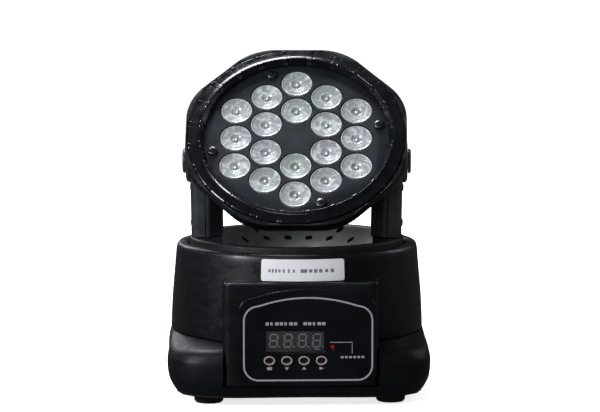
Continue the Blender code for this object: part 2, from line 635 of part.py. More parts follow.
def lobed_ring(y, half_x, half_u, count=40, power=4.0):
    points = []
    for i in range(count):
        a = math.tau * (i + 0.5) / count
        c, s = math.cos(a), math.sin(a)
        r = (abs(c / half_x) ** power + abs(s / half_u) ** power) ** (-1 / power)
        points.append((r * c, y, r * s))
    return points


def round_ring(y, radius, count=40):
    return lobed_ring(y, radius, radius, count, 2.0)


def make_head_shells(look, tilt):
    """The octagonal frame, with a seat for the round ring, and the tapered rear shell."""
    front, seat, floor, back = -FRAME_FRONT, -25.0 * MM, -20.7 * MM, -FRAME_BACK
    step = RING_OUT_R + GAP
    rings = [round_ring(seat, step, HEAD_N), round_ring(front, step, HEAD_N),
             octagon_ring(front, FRAME_APOTHEM - 0.5 * MM, HEAD_N),
             octagon_ring(front + 0.7 * MM, FRAME_APOTHEM, HEAD_N),
             octagon_ring(back, FRAME_APOTHEM - 1.2 * MM, HEAD_N),
             lobed_ring(back, 45.5 * MM, 62.5 * MM, HEAD_N), lobed_ring(floor, 45.5 * MM, 62.5 * MM, HEAD_N),
             round_ring(floor, 66 * MM, HEAD_N), round_ring(seat, 66 * MM, HEAD_N)]
    place("head_front_shell", skin(bmesh.new(), rings, closed=True), look["head"], tilt)

    outer = [lobed_ring(*station) for station in SHELL_STATIONS]
    inner = [lobed_ring(y, x - 2.5 * MM, u - 3 * MM) for y, x, u in SHELL_STATIONS[:-1]]
    end, lip = SHELL_STATIONS[-1][0], 20.0 * MM
    rings = outer + [round_ring(end, 23.5 * MM), round_ring(lip, 23.5 * MM),
                     lobed_ring(lip, 37.4 * MM, 32.0 * MM)] + inner[::-1]
    shell = place("head_rear_shell", skin(bmesh.new(), rings, closed=True), look["head"], tilt)
    hole = slab(circle(TRUNNION_R + GAP, 24), -60 * MM, 60 * MM, facing("+X"))
    boolean(shell, "DIFFERENCE", guide("cut_trunnion_holes", hole, tilt))


def lens_places():
    """The hexagonal grid of eighteen lenses round an empty middle."""
    places = []
    for column in range(-2, 3):
        rows = 5 - abs(column)
        for row in range(rows):
            u = (row - (rows - 1) / 2) * LENS_PITCH
            if column or abs(u) > 1e-6:
                places.append((column * LENS_PITCH * math.sqrt(3) / 2, u))
    return places


def make_optics(look, tilt):
    forward = facing("-Y")
    ring = [(RING_IN_R, 25.3 * MM), (RING_OUT_R, 25.3 * MM), (RING_OUT_R, 28.9 * MM),
            (RING_CREST_R + 1.5 * MM, 29.8 * MM), (RING_CREST_R, 30.5 * MM),
            (RING_CREST_R - 1.1 * MM, 29.9 * MM), (RING_IN_R, 26.4 * MM)]
    place("front_ring", turn(ring, 48, forward), look["head"], tilt)

    plate = place("lens_plate", slab(circle(PLATE_R, 48), 22.8 * MM, 25.0 * MM, forward),
                  look["plate"], tilt)
    holes = bmesh.new()
    optics = slab(circle(65.0 * MM, 40), 21.2 * MM, 22.4 * MM)
    for x, u in lens_places():
        skin(holes, [[(x + px, u + py, h) for px, py in circle(LENS_R + 0.5 * MM, 16)]
                     for h in (20 * MM, 32 * MM)])
    bmesh.ops.transform(holes, matrix=forward, verts=holes.verts)
    bmesh.ops.recalc_face_normals(holes, faces=holes.faces)
    boolean(plate, "DIFFERENCE", guide("cut_lens_holes", holes, tilt))

    bmesh.ops.transform(optics, matrix=forward, verts=optics.verts)
    optics = place("lens_array", optics, look["lens"], tilt)
    bodies = bmesh.new()
    for x, u in lens_places():
        profile = ((6.3 * MM, 21.0 * MM), (LENS_R, 22.5 * MM), (LENS_R, 25.3 * MM))
        skin(bodies, [[(x + px, u + py, h) for px, py in circle(r, 12)] for r, h in profile])
    bmesh.ops.transform(bodies, matrix=forward, verts=bodies.verts)
    bmesh.ops.recalc_face_normals(bodies, faces=bodies.faces)
    boolean(optics, "UNION", guide("join_lenses", bodies, tilt))

    for number, angle in enumerate(SCREW_ANGLES, 1):
        a = math.radians(angle)
        head = [(3.6, 25.3), (3.6, 26.0), (2.6, 27.0)]
        bm = turn([(r * MM, h * MM) for r, h in head], 12, forward, closed=False)
        screw = place(f"plate_screw_{number}", bm, look["screw"], tilt)
        screw.location = (SCREW_PCR * math.cos(a), 0, SCREW_PCR * math.sin(a))

    bm = skin(bmesh.new(), [lobed_ring(y * MM, 44.6 * MM, 60 * MM) for y in (-20.0, -18.4)])
    place("led_board", bm, look["alloy"], tilt)


def make_cooling(look, tilt):
    """A comb of fins behind the LED board, with the fan behind it."""
    half, front, root, tip = 41.0, -18.1, -13.7, 4.0
    comb = [(-half, root), (-half, front), (half, front), (half, root)]
    for i in range(FIN_COUNT):
        x = 34.0 - 68.0 * i / (FIN_COUNT - 1)
        comb += [(x + 0.9, root), (x + 0.9, tip), (x - 0.9, tip), (x - 0.9, root)]
    bm = skin(bmesh.new(), [[(x * MM, y * MM, u) for x, y in comb] for u in (-38 * MM, 38 * MM)])
    place("heat_sink", bm, look["alloy"], tilt)

    frame = box((-FAN_HALF, 6.0 * MM, -FAN_HALF), (FAN_HALF, 19.4 * MM, FAN_HALF))
    frame = place("fan_frame", frame, look["module"], tilt)
    bore = turn([(7.0 * MM, 5 * MM), (23.4 * MM, 5 * MM), (23.4 * MM, 21 * MM), (7.0 * MM, 21 * MM)], 32,
                facing("+Y"))
    boolean(frame, "DIFFERENCE", guide("cut_fan_bore", bore, tilt))
    spokes = bmesh.new()
    for sign in (-1, 1):
        low, high = sorted((sign * 6.0 * MM, sign * 24.2 * MM))
        add_box(spokes, (low, 6.1 * MM, -1.2 * MM), (high, 7.7 * MM, 1.2 * MM))
        add_box(spokes, (-1.2 * MM, 6.1 * MM, low), (1.2 * MM, 7.7 * MM, high))
    hub_cut = slab(circle(8 * MM, 24), 7.9 * MM, 24 * MM, facing("+Y"))
    boolean(frame, "UNION", guide("join_fan_spokes", spokes, tilt))
    boolean(frame, "DIFFERENCE", guide("cut_fan_hub", hub_cut, tilt))

    hub = turn([(9.5 * MM, 8.5 * MM), (9.5 * MM, 17.9 * MM), (8.6 * MM, 18.7 * MM)], 24,
               facing("+Y"), closed=False)
    rotor = place("fan_rotor", hub, look["module"], tilt)
    blades = bmesh.new()
    for i in range(7):
        blade = box((8.6 * MM, -0.5 * MM, -4.6 * MM), (FAN_R - 0.3 * MM, 0.5 * MM, 4.6 * MM))
        turned = (Matrix.Rotation(math.tau * i / 7, 4, "Z") @ Matrix.Translation((0, 0, 13.4 * MM))
                  @ Matrix.Rotation(math.radians(48), 4, "X"))
        bmesh.ops.transform(blade, matrix=turned, verts=blade.verts)
        copy_into(blade, blades)
    bmesh.ops.transform(blades, matrix=facing("+Y"), verts=blades.verts)
    bmesh.ops.recalc_face_normals(blades, faces=blades.faces)
    boolean(rotor, "UNION", guide("join_fan_blades", blades, tilt))

    grille = place("rear_grille", slab(circle(26.5 * MM, 40), 22.8 * MM, 24.3 * MM, facing("+Y")),
                   look["steel"], tilt)
    slots = bmesh.new()
    for x in range(-4, 5):
        reach = math.sqrt(24.0 ** 2 - (5 * x) ** 2)
        for sign in (-1, 1):
            low, high = sorted((sign * 1.2 * MM, sign * reach * MM))
            add_box(slots, ((5 * x - 1.6) * MM, 21 * MM, low), ((5 * x + 1.6) * MM, 26 * MM, high))
    boolean(grille, "DIFFERENCE", guide("cut_grille", slots, tilt))


def copy_into(source, target):
    """Add one bmesh's faces to another."""
    twins = {v: target.verts.new(v.co) for v in source.verts}
    for face in source.faces:
        target.faces.new([twins[v] for v in face.verts])
    source.free()


def make_trunnions(look, tilt):
    for name, direction in (("left_trunnion", "-X"), ("right_trunnion", "+X")):
        profile = [(3.4, 43.2), (11, 43.2), (11, 44.6), (8.5, 44.6), (8.5, 64.3), (6.3, 64.3), (6.3, 66.4),
                   (5.0, 66.4), (5.0, 69.6), (3.4, 69.6)]
        bm = turn([(r * MM, x * MM) for r, x in profile], 20, facing(direction))
        place(name, bm, look["alloy"], tilt)
    pulley = [(5.3, 66.6), (TILT_PULLEY_R / MM, 66.6), (TILT_PULLEY_R / MM, 68.8), (5.3, 68.8)]
    bm = turn([(r * MM, x * MM) for r, x in pulley], 20, facing("-X"))
    place("tilt_pulley", bm, look["alloy"], tilt)


def main():
    clear_scene()
    look = looks()
    make_base_plate(look)
    make_feet(look)
    make_skirt(look)
    make_housing(look)
    make_control_panel(look)
    make_label(look)
    make_rear_panel(look)
    make_inner_base(look)

    pan = empty("pan_axis", (0, 0, 0), (0, 0, PAN_REST))
    make_turntable(look, pan)
    make_arm("left_arm", -1, look, pan)
    make_arm("right_arm", 1, look, pan)
    make_tilt_drive(look, pan)

    tilt = empty("tilt_axis", (0, 0, AXIS_Z), (TILT_REST, 0, 0), pan)
    make_head_shells(look, tilt)
    make_optics(look, tilt)
    make_cooling(look, tilt)
    make_trunnions(look, tilt)


main()
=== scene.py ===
"""Looks of the moving head light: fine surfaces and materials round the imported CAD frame."""

import json
from math import asin, atan, atan2, cos, degrees, hypot, pi, radians, sin, sqrt, tan, tau

import bmesh
import bpy
from mathutils import Matrix, Vector


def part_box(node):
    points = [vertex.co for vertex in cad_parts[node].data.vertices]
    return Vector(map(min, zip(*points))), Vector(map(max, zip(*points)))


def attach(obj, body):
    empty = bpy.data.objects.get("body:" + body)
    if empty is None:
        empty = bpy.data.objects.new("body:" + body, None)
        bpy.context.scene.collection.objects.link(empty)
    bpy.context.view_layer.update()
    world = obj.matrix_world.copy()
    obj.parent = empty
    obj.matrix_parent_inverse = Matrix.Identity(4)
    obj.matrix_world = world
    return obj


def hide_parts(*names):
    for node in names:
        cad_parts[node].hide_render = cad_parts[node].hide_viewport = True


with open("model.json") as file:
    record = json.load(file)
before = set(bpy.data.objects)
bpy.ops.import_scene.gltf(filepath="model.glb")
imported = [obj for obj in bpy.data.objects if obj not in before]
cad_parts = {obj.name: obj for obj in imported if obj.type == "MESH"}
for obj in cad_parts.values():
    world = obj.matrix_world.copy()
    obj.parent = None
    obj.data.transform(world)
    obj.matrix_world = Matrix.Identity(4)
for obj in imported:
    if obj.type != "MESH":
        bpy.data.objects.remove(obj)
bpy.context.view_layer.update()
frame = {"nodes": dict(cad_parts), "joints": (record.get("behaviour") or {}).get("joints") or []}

MM = 0.001
JOINTS = {joint["name"]: joint for joint in frame["joints"]}
AXIS = Vector(JOINTS["tilt"]["pos_m"])
BACK = Vector(JOINTS["fan_spin"]["axis"])
LEFT = Vector(JOINTS["tilt"]["axis"])
PAN = atan2(-LEFT.y, -LEFT.x)                    # how far the yoke is turned at rest
TILT = asin(BACK.z)                              # how far the head leans back at rest
YOKE = Matrix.Rotation(PAN, 4, "Z")
HEAD = Matrix.Translation(AXIS) @ YOKE @ Matrix.Rotation(TILT, 4, "X")
FORWARD = HEAD @ Matrix.Rotation(pi / 2, 4, "X")  # local Z out of the lenses, local Y up

LENS_PITCH = 23.3
LENS_RIM_R = 10.4
LENS_HOLE_R = 11.1
PLATE_SCREW_Y = -25.25                                 # where the heads bed on the plate
DECK_SCREW_R = 69.3
LABEL_R = 82.4                                         # the collar's radius under the label
DECK_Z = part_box("turntable")[1].z / MM
PANEL_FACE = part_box("control_panel")[0].y
HOUSING_LOW, HOUSING_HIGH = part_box("base_housing")
RIM_Z = HOUSING_HIGH.z / MM
NOSE_Y = HOUSING_HIGH.y / MM
NOSE_HALF = 50.5
NOSE_TOP = 82.2
NOSE_BOTTOM = HOUSING_LOW.z / MM


# ---------- mesh building ----------

def make(name, bm, look, body=None, node=None, smooth_deg=35):
    """A finished piece from a bmesh: smooth shaded, riding on a body, perhaps in place of a CAD node."""
    bmesh.ops.recalc_face_normals(bm, faces=bm.faces)
    mesh = bpy.data.meshes.new(name)
    bm.to_mesh(mesh)
    bm.free()
    mesh.shade_smooth()
    mesh.set_sharp_from_angle(angle=radians(smooth_deg))
    piece = bpy.data.objects.new(name, mesh)
    bpy.context.scene.collection.objects.link(piece)
    mesh.materials.append(LOOKS[look])
    if body:
        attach(piece, body)
    if node:
        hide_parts(*([node] if isinstance(node, str) else node))
    return piece


def skin(bm, rings, closed=False):
    """Bridge point rings of equal length, and join the last to the first or cap both ends."""
    rows = [[bm.verts.new(p) for p in ring] for ring in rings]
    pairs = list(zip(rows, rows[1:]))
    if closed:
        pairs.append((rows[-1], rows[0]))
    count = len(rows[0])
    for low, high in pairs:
        for i in range(count):
            j = (i + 1) % count
            bm.faces.new((low[i], low[j], high[j], high[i]))
    if not closed:
        bm.faces.new(list(reversed(rows[0])))
        bm.faces.new(rows[-1])
    return bm


def circle(radius, count, at=(0, 0)):
    return [(at[0] + radius * cos(tau * i / count), at[1] + radius * sin(tau * i / count))
            for i in range(count)]


def arc(centre, radius, start_deg, end_deg, steps):
    points = []
    for i in range(steps + 1):
        a = radians(start_deg + (end_deg - start_deg) * i / steps)
        points.append((centre[0] + radius * cos(a), centre[1] + radius * sin(a)))
    return points


def shift(bm, matrix):
    bmesh.ops.transform(bm, matrix=matrix, verts=bm.verts)
    return bm


def millimetres(bm):
    """Scale a mesh made in millimetres to metres."""
    bmesh.ops.scale(bm, vec=(MM, MM, MM), verts=bm.verts)
    return bm


def ahead(bm):
    """Set a mesh made in millimetres into the head, with its Z out of the lenses."""
    return shift(millimetres(bm), FORWARD)


def turned(profile, count, matrix, closed=True, at=(0, 0), bm=None):
    """Turn (radius, height) points, in millimetres, about local Z."""
    part = bmesh.new()
    skin(part, [[(x, y, h) for x, y in circle(r, count, at)] for r, h in profile], closed)
    shift(millimetres(part), matrix)
    if bm is None:
        return part
    return merge(bm, part)


def merge(target, source):
    """Move the faces of one mesh into another."""
    twins = {v: target.verts.new(v.co) for v in source.verts}
    for face in source.faces:
        target.faces.new([twins[v] for v in face.verts])
    source.free()
    return target


def slab(outline, low, high, matrix):
    """Extrude an outline, in millimetres, along local Z."""
    bm = skin(bmesh.new(), [[(x, y, h) for x, y in outline] for h in (low, high)])
    return shift(millimetres(bm), matrix)


def block(low, high, matrix=Matrix.Identity(4)):
    outline = [(low[0], low[1]), (high[0], low[1]), (high[0], high[1]), (low[0], high[1])]
    return slab(outline, low[2], high[2], matrix)


def ribbon(path, width, low, high, matrix, closed=True):
    """A flat band of a width along a path, in millimetres."""
    count = len(path)
    sides = []
    for i, (x, y) in enumerate(path):
        before = path[(i - 1) % count] if closed or i else path[i]
        after = path[(i + 1) % count] if closed or i < count - 1 else path[i]
        dx, dy = after[0] - before[0], after[1] - before[1]
        length = hypot(dx, dy)
        nx, ny = -dy / length * width / 2, dx / length * width / 2
        sides.append(((x + nx, y + ny), (x - nx, y - ny)))
    rings = [[(a[0], a[1], low), (b[0], b[1], low), (b[0], b[1], high), (a[0], a[1], high)]
             for a, b in sides]
    bm = skin(bmesh.new(), rings, closed)
    return shift(millimetres(bm), matrix)


def cut(piece, bm, operation="DIFFERENCE"):
    """Apply a Boolean with a throwaway solid."""
    bmesh.ops.recalc_face_normals(bm, faces=bm.faces)
    mesh = bpy.data.meshes.new("tool")
    bm.to_mesh(mesh)
    bm.free()
    tool = bpy.data.objects.new("tool", mesh)
    bpy.context.scene.collection.objects.link(tool)
    step = piece.modifiers.new("cut", "BOOLEAN")
    step.operation = operation
    step.object = tool
    step.solver = "EXACT"
    bpy.context.view_layer.update()
    done = bpy.data.meshes.new_from_object(piece.evaluated_get(bpy.context.evaluated_depsgraph_get()))
    piece.modifiers.remove(step)
    piece.data = done
    bpy.data.objects.remove(tool, do_unlink=True)
    piece.data.shade_smooth()
    piece.data.set_sharp_from_angle(angle=radians(35))
    return piece


def soften(piece, width, segments=3, angle_deg=32):
    """Round the sharp edges with a bevel."""
    step = piece.modifiers.new("soft_edges", "BEVEL")
    step.width = width * MM
    step.segments = segments
    step.limit_method = "ANGLE"
    step.angle_limit = radians(angle_deg)
    step.harden_normals = False
    return piece


# ---------- materials ----------

def shader_of(name):
    look = bpy.data.materials.new(name)
    look.use_nodes = True
    tree = look.node_tree
    return look, tree, tree.nodes["Principled BSDF"]


def noise(tree, scale, detail=4.0, roughness=0.55, stretch=(1, 1, 1), distortion=0.0):
    """Noise in object space, with its scale in features per metre."""
    place = tree.nodes.new("ShaderNodeTexCoord")
    spread = tree.nodes.new("ShaderNodeMapping")
    spread.inputs["Scale"].default_value = stretch
    tree.links.new(place.outputs["Object"], spread.inputs["Vector"])
    made = tree.nodes.new("ShaderNodeTexNoise")
    made.inputs["Scale"].default_value = scale
    made.inputs["Detail"].default_value = detail
    made.inputs["Roughness"].default_value = roughness
    made.inputs["Distortion"].default_value = distortion
    tree.links.new(spread.outputs["Vector"], made.inputs["Vector"])
    return made.outputs["Fac"]


def ramp(tree, source, low, high, from_low=0.35, from_high=0.65):
    """Map a grey value onto a range."""
    made = tree.nodes.new("ShaderNodeMapRange")
    made.inputs["From Min"].default_value = from_low
    made.inputs["From Max"].default_value = from_high
    made.inputs["To Min"].default_value = low
    made.inputs["To Max"].default_value = high
    tree.links.new(source, made.inputs["Value"])
    return made.outputs["Result"]


def blend(tree, amount, first, second):
    """Mix two colours, each a tuple or an output, by an output."""
    made = tree.nodes.new("ShaderNodeMix")
    made.data_type = "RGBA"
    tree.links.new(amount, made.inputs["Factor"])
    for value, socket in ((first, made.inputs["A"]), (second, made.inputs["B"])):
        if isinstance(value, tuple):
            socket.default_value = (*value, 1.0)
        else:
            tree.links.new(value, socket)
    return made.outputs["Result"]


def bump(tree, shader, source, strength, distance, before=None):
    made = tree.nodes.new("ShaderNodeBump")
    made.inputs["Strength"].default_value = strength
    made.inputs["Distance"].default_value = distance
    tree.links.new(source, made.inputs["Height"])
    if before:
        tree.links.new(before, made.inputs["Normal"])
    tree.links.new(made.outputs["Normal"], shader.inputs["Normal"])
    return made.outputs["Normal"]


def coated(name, colour, roughness, grain=2600, grain_depth=0.00004, specular=0.4, spread=0.1):
    """Moulded or painted black goods: fine grain, cloudy tone, faint dust and light scuffs."""
    tint, scuffs = 0.35, 0.12
    look, tree, shader = shader_of(name)
    clouds = noise(tree, 38, 5)
    dark = tuple(c * (1 - tint) for c in colour)
    light = tuple(min(1.0, c * (1 + tint)) for c in colour)
    tone = blend(tree, ramp(tree, clouds, 0, 1), dark, light)
    dust = noise(tree, 900, 3, 0.7)
    speck = ramp(tree, dust, 0, scuffs, 0.66, 0.80)
    tone = blend(tree, speck, tone, (0.16, 0.16, 0.17))
    tree.links.new(tone, shader.inputs["Base Color"])
    rubbed = noise(tree, 95, 6, 0.65, (1, 1, 2.6), 0.6)
    tree.links.new(ramp(tree, rubbed, roughness - spread, roughness + spread), shader.inputs["Roughness"])
    shader.inputs["Specular IOR Level"].default_value = specular
    peel = bump(tree, shader, noise(tree, 210, 2), 0.12, 0.00025)
    bump(tree, shader, noise(tree, grain, 3, 0.6), 0.5, grain_depth, peel)
    return look


def metal(name, colour, roughness, stretch=(1, 1, 1), scale=420):
    """Bare metal with a fine brushed grain."""
    streak = 0.12
    look, tree, shader = shader_of(name)
    lines = noise(tree, scale, 6, 0.6, stretch)
    light = tuple(min(1.0, c * 1.12) for c in colour)
    dark = tuple(c * 0.78 for c in colour)
    tree.links.new(blend(tree, ramp(tree, noise(tree, 60, 4), 0, 1), dark, light),
                   shader.inputs["Base Color"])
    tree.links.new(ramp(tree, lines, roughness - streak, roughness + streak), shader.inputs["Roughness"])
    shader.inputs["Metallic"].default_value = 1.0
    bump(tree, shader, lines, 0.2, 0.00003)
    return look


def optic(name):
    """Clear moulded collimators as an opaque silvery grey with faint tints, a painted highlight on the rim,
    rings of painted highlight and shade, and painted streaks of reflection.
    """
    look, tree, shader = shader_of(name)
    read = tree.nodes.new("ShaderNodeAttribute")
    read.attribute_name = "reach"
    rings = tree.nodes.new("ShaderNodeValToRGB")
    # The grey steps over reach paint light and shade: a painted highlight on the rim crest (0.955), painted
    # shade in the well round the LED (0.24) and in the crease inside the rim (0.91).
    stops = ((0.0, 0.50), (0.17, 0.36), (0.24, 0.17), (0.31, 0.30), (0.37, 0.44), (0.44, 0.52), (0.52, 0.36),
             (0.70, 0.33), (0.84, 0.36), (0.91, 0.27), (0.955, 0.85), (1.0, 0.40))
    while len(rings.color_ramp.elements) < len(stops):
        rings.color_ramp.elements.new(0.5)
    for element, (at, grey) in zip(rings.color_ramp.elements, stops):
        element.position = at
        element.color = (grey, grey * 1.015, grey * 1.01, 1.0)
    tree.links.new(read.outputs["Fac"], rings.inputs["Fac"])
    tints = ramp(tree, noise(tree, 34, 2), 0, 1, 0.42, 0.58)
    tinted = blend(tree, tints, (0.32, 0.40, 0.36), (0.37, 0.36, 0.43))
    tone = tree.nodes.new("ShaderNodeMix")
    tone.data_type = "RGBA"
    tone.inputs["Factor"].default_value = 0.45
    tree.links.new(rings.outputs["Color"], tone.inputs["A"])
    tree.links.new(tinted, tone.inputs["B"])
    # Painted reflection: pale streaks mixed into the colour stand in for light caught in the clear lens.
    streak = ramp(tree, noise(tree, 120, 4, 0.55, (1, 1, 1), 1.8), 0, 0.72, 0.48, 0.66)
    tree.links.new(blend(tree, streak, tone.outputs["Result"], (0.84, 0.88, 0.88)),
                   shader.inputs["Base Color"])
    tree.links.new(ramp(tree, noise(tree, 700, 3), 0.16, 0.32), shader.inputs["Roughness"])
    shader.inputs["Metallic"].default_value = 0.12
    shader.inputs["Specular IOR Level"].default_value = 0.6
    shader.inputs["Coat Weight"].default_value = 0.35
    shader.inputs["Coat Roughness"].default_value = 0.06
    bump(tree, shader, noise(tree, 480, 3, 0.5), 0.2, 0.0001)
    return look


def clear_window(name):
    """A dark, half clear acrylic pane."""
    look, tree, shader = shader_of(name)
    tree.links.new(blend(tree, ramp(tree, noise(tree, 120, 3), 0, 1), (0.05, 0.055, 0.06),
                         (0.09, 0.095, 0.10)),
                   shader.inputs["Base Color"])
    tree.links.new(ramp(tree, noise(tree, 300, 3), 0.05, 0.16), shader.inputs["Roughness"])
    shader.inputs["Alpha"].default_value = 0.3
    return look


def plain(name, colour, roughness, variation=0.12, scale=160, grain=1500, specular=0.5, depth=0.00003,
          emission=0.0):
    """Small printed and moulded pieces in a light or strong colour."""
    look, tree, shader = shader_of(name)
    dark = tuple(c * (1 - variation) for c in colour)
    tree.links.new(blend(tree, ramp(tree, noise(tree, scale, 5), 0, 1), dark, colour),
                   shader.inputs["Base Color"])
    tree.links.new(ramp(tree, noise(tree, 400, 4), roughness - 0.06, roughness + 0.08),
                   shader.inputs["Roughness"])
    shader.inputs["Specular IOR Level"].default_value = specular
    # Emission makes the evenly bright floor; on the LED domes it is a painted highlight.
    if emission:
        shader.inputs["Emission Color"].default_value = (*colour, 1.0)
        shader.inputs["Emission Strength"].default_value = emission
    bump(tree, shader, noise(tree, grain, 3), 0.3, depth)
    return look


LOOKS = {
    "shell": coated("moulded_shell", (0.0046, 0.0050, 0.0070), 0.38, specular=0.38),
    "skirt": coated("moulded_skirt", (0.0040, 0.0044, 0.0062), 0.46, specular=0.24),
    "head": coated("powder_coat", (0.0040, 0.0045, 0.0062), 0.36, grain=1900,
                   grain_depth=0.00005, specular=0.28),
    "ring": coated("ring_gloss", (0.0026, 0.0030, 0.0050), 0.20, grain=2400, grain_depth=0.00002,
                   specular=0.60, spread=0.05),
    "plate": coated("plate_paint", (0.0115, 0.0155, 0.0210), 0.50, grain=2200, specular=0.20),
    "arm": coated("arm_mould", (0.0320, 0.0385, 0.0450), 0.42, specular=0.50),
    "deck": coated("deck_mould", (0.0095, 0.0095, 0.0105), 0.50, specular=0.25),
    "panel": coated("panel_film", (0.0030, 0.0036, 0.0062), 0.26, grain=3200, grain_depth=0.00002,
                    specular=0.42,
                    spread=0.06),
    "socket": coated("socket_mould", (0.0060, 0.0060, 0.0068), 0.42),
    "rubber": coated("foot_rubber", (0.0080, 0.0080, 0.0080), 0.82, grain=1400, grain_depth=0.0001,
                     specular=0.2),
    "belt": coated("belt_rubber", (0.0080, 0.0080, 0.0080), 0.8, grain=1700, grain_depth=0.00008,
                   specular=0.2),
    "screw": metal("black_screw", (0.10, 0.10, 0.11), 0.34, scale=900),
    "steel": metal("zinc_steel", (0.60, 0.60, 0.62), 0.34, (1, 9, 1)),
    "alloy": metal("plain_aluminium", (0.70, 0.71, 0.73), 0.38, (9, 1, 1)),
    "brass": metal("contact_brass", (0.72, 0.55, 0.25), 0.26),
    "optic": optic("lens_acrylic"),
    "chip": plain("led_chip", (0.10, 0.10, 0.09), 0.25, 0.5, 900, 2200),
    # The LED domes glow with emission 0.9: a painted highlight on LEDs that give no light.
    "chip_dome": plain("led_dome", (0.86, 0.89, 0.84), 0.10, 0.1, 700, 1500, 0.9),
    "window": clear_window("display_acrylic"),
    "segment": plain("display_segment", (0.50, 0.53, 0.53), 0.35, 0.2, 800, 1800),
    "print": plain("panel_print", (0.40, 0.41, 0.44), 0.42, 0.2, 700, 2000),
    "face": plain("display_face", (0.012, 0.014, 0.015), 0.35, 0.3),
    "key_ring": plain("key_ring", (0.50, 0.38, 0.39), 0.25, 0.25, 600, 1600),
    "key": coated("key_cap", (0.0100, 0.0060, 0.0075), 0.34),
    "label": plain("label_film", (0.90, 0.91, 0.94), 0.52, 0.06, 90, 2400),
    "label_print": plain("label_print", (0.22, 0.23, 0.25), 0.55, 0.2, 900, 2000),
    "rocker": plain("rocker_red", (0.28, 0.012, 0.012), 0.24, 0.25),
    "lamp": plain("lamp_red", (0.30, 0.015, 0.015), 0.18, 0.2),
    "board": plain("solder_mask", (0.018, 0.11, 0.035), 0.35, 0.35, 240, 900),
}


# ---------- head ----------

LUG_STEP = 360 / 24
LUG_HALF = 1.3


def make_ring():
    """The front ring: a fine crest over a broad slope, with short ribs that stand between notches."""
    profile = ((62.05, 25.35), (67.0, 25.35), (72.3, 25.35), (72.75, 25.7), (72.8, 28.0), (72.55, 28.6),
               (72.0, 28.95), (71.0, 29.05), (69.0, 29.2), (67.2, 29.4), (66.3, 29.6), (65.85, 29.85),
               (65.5, 30.25), (65.1, 30.42), (64.7, 30.42), (64.35, 30.2), (64.05, 29.7), (63.3, 28.4),
               (62.5, 27.0), (62.05, 26.4))
    count = 960
    rings = [[] for _ in profile]
    for i in range(count):
        a = tau * i / count
        off = abs(degrees(a) % LUG_STEP - LUG_STEP / 2)
        rib = min(1.0, max(0.0, (LUG_HALF + 0.2 - off) / 0.4))
        notch = max(0.0, 1 - abs(off - LUG_HALF - 0.6) / 0.4)
        for ring, (r, h) in zip(rings, profile):
            face = min(1.0, max(0.0, (h - 26.6) / 1.2))
            inner = min(1.0, max(0.0, (66.0 - r) / 1.5))
            edge = min(1.0, max(0.0, (r - 71.2) / 1.2))
            slope = 1.0 - max(inner, edge)
            radius = r - rib * face * inner * 0.45 + notch * face * inner * 0.15 - notch * face * edge * 0.25
            height = h + rib * face * (0.06 * inner + 0.30 * edge + 0.03 * slope)
            height -= notch * face * (0.28 * inner + 0.20 * edge + 0.05 * slope)
            ring.append((radius * cos(a), radius * sin(a), min(height, 30.45)))
    bm = skin(bmesh.new(), rings, closed=True)
    return make("front_ring_ribbed", ahead(bm), "ring", "head", "front_ring", 26)


def octagon(apothem, corner_r, count):
    """A rounded octagon with flats above, below and at the sides."""
    flat = apothem - corner_r
    corner = flat / cos(pi / 8)
    flat_end = atan(flat * tan(pi / 8) / apothem)
    points = []
    for i in range(count):
        a = tau * i / count
        local = a % (pi / 4)
        local = min(local, pi / 4 - local)
        off = pi / 8 - local
        r = corner * cos(off) + sqrt(corner_r ** 2 - (corner * sin(off)) ** 2)
        if local < flat_end:
            r = apothem / cos(local)
        points.append((r * cos(a), r * sin(a)))
    return points


def squircle(half_x, half_u, count, groove=None):
    """A square with widely rounded corners, perhaps with grooves sunk into it."""
    power = 4.0
    points = []
    for i in range(count):
        a = tau * i / count
        c, s = cos(a), sin(a)
        r = (abs(c / half_x) ** power + abs(s / half_u) ** power) ** (-1 / power)
        if groove:
            r -= groove(r * c, r * s)
        points.append((r * c, r * s))
    return points


def levels(rows):
    """Rings in the head's frame, from (outline, height ahead of the tilt axis) pairs."""
    return [[(x, y, h) for x, y in outline] for outline, h in rows]


def make_head_frame():
    """The octagonal rim round the ring, with a rounded front edge and a shallow rear return."""
    count = 384
    rows = [(circle(66, count), 25.0), (circle(73.05, count), 25.0), (circle(73.05, count), 28.0),
            (octagon(73.45, 37.3, count), 28.25), (octagon(73.8, 37.7, count), 28.12),
            (octagon(74.05, 37.8, count), 27.8), (octagon(74.12, 37.9, count), 27.2),
            (octagon(74.0, 37.9, count), 25.0),
            (octagon(73.2, 37.3, count), 20.6), (octagon(72.9, 37.1, count), 19.95),
            (octagon(72.2, 36.6, count), 19.6), (octagon(71.2, 36, count), 19.55),
            (squircle(47.0, 64.0, count), 19.55), (squircle(45.6, 62.6, count), 19.8),
            (squircle(45.6, 62.6, count), 20.7), (circle(66, count), 20.7)]
    bm = skin(bmesh.new(), levels(rows), closed=True)
    return make("head_rim_octagon", ahead(bm), "head", "head",
                "head_front_shell", 26)


def between(stations, y):
    """Read a table of (y, half width, half height) at y."""
    for (y0, *low), (y1, *high) in zip(stations, stations[1:]):
        if y <= y1:
            t = (y - y0) / (y1 - y0)
            return [a + (b - a) * t for a, b in zip(low, high)]
    return list(stations[-1][1:])


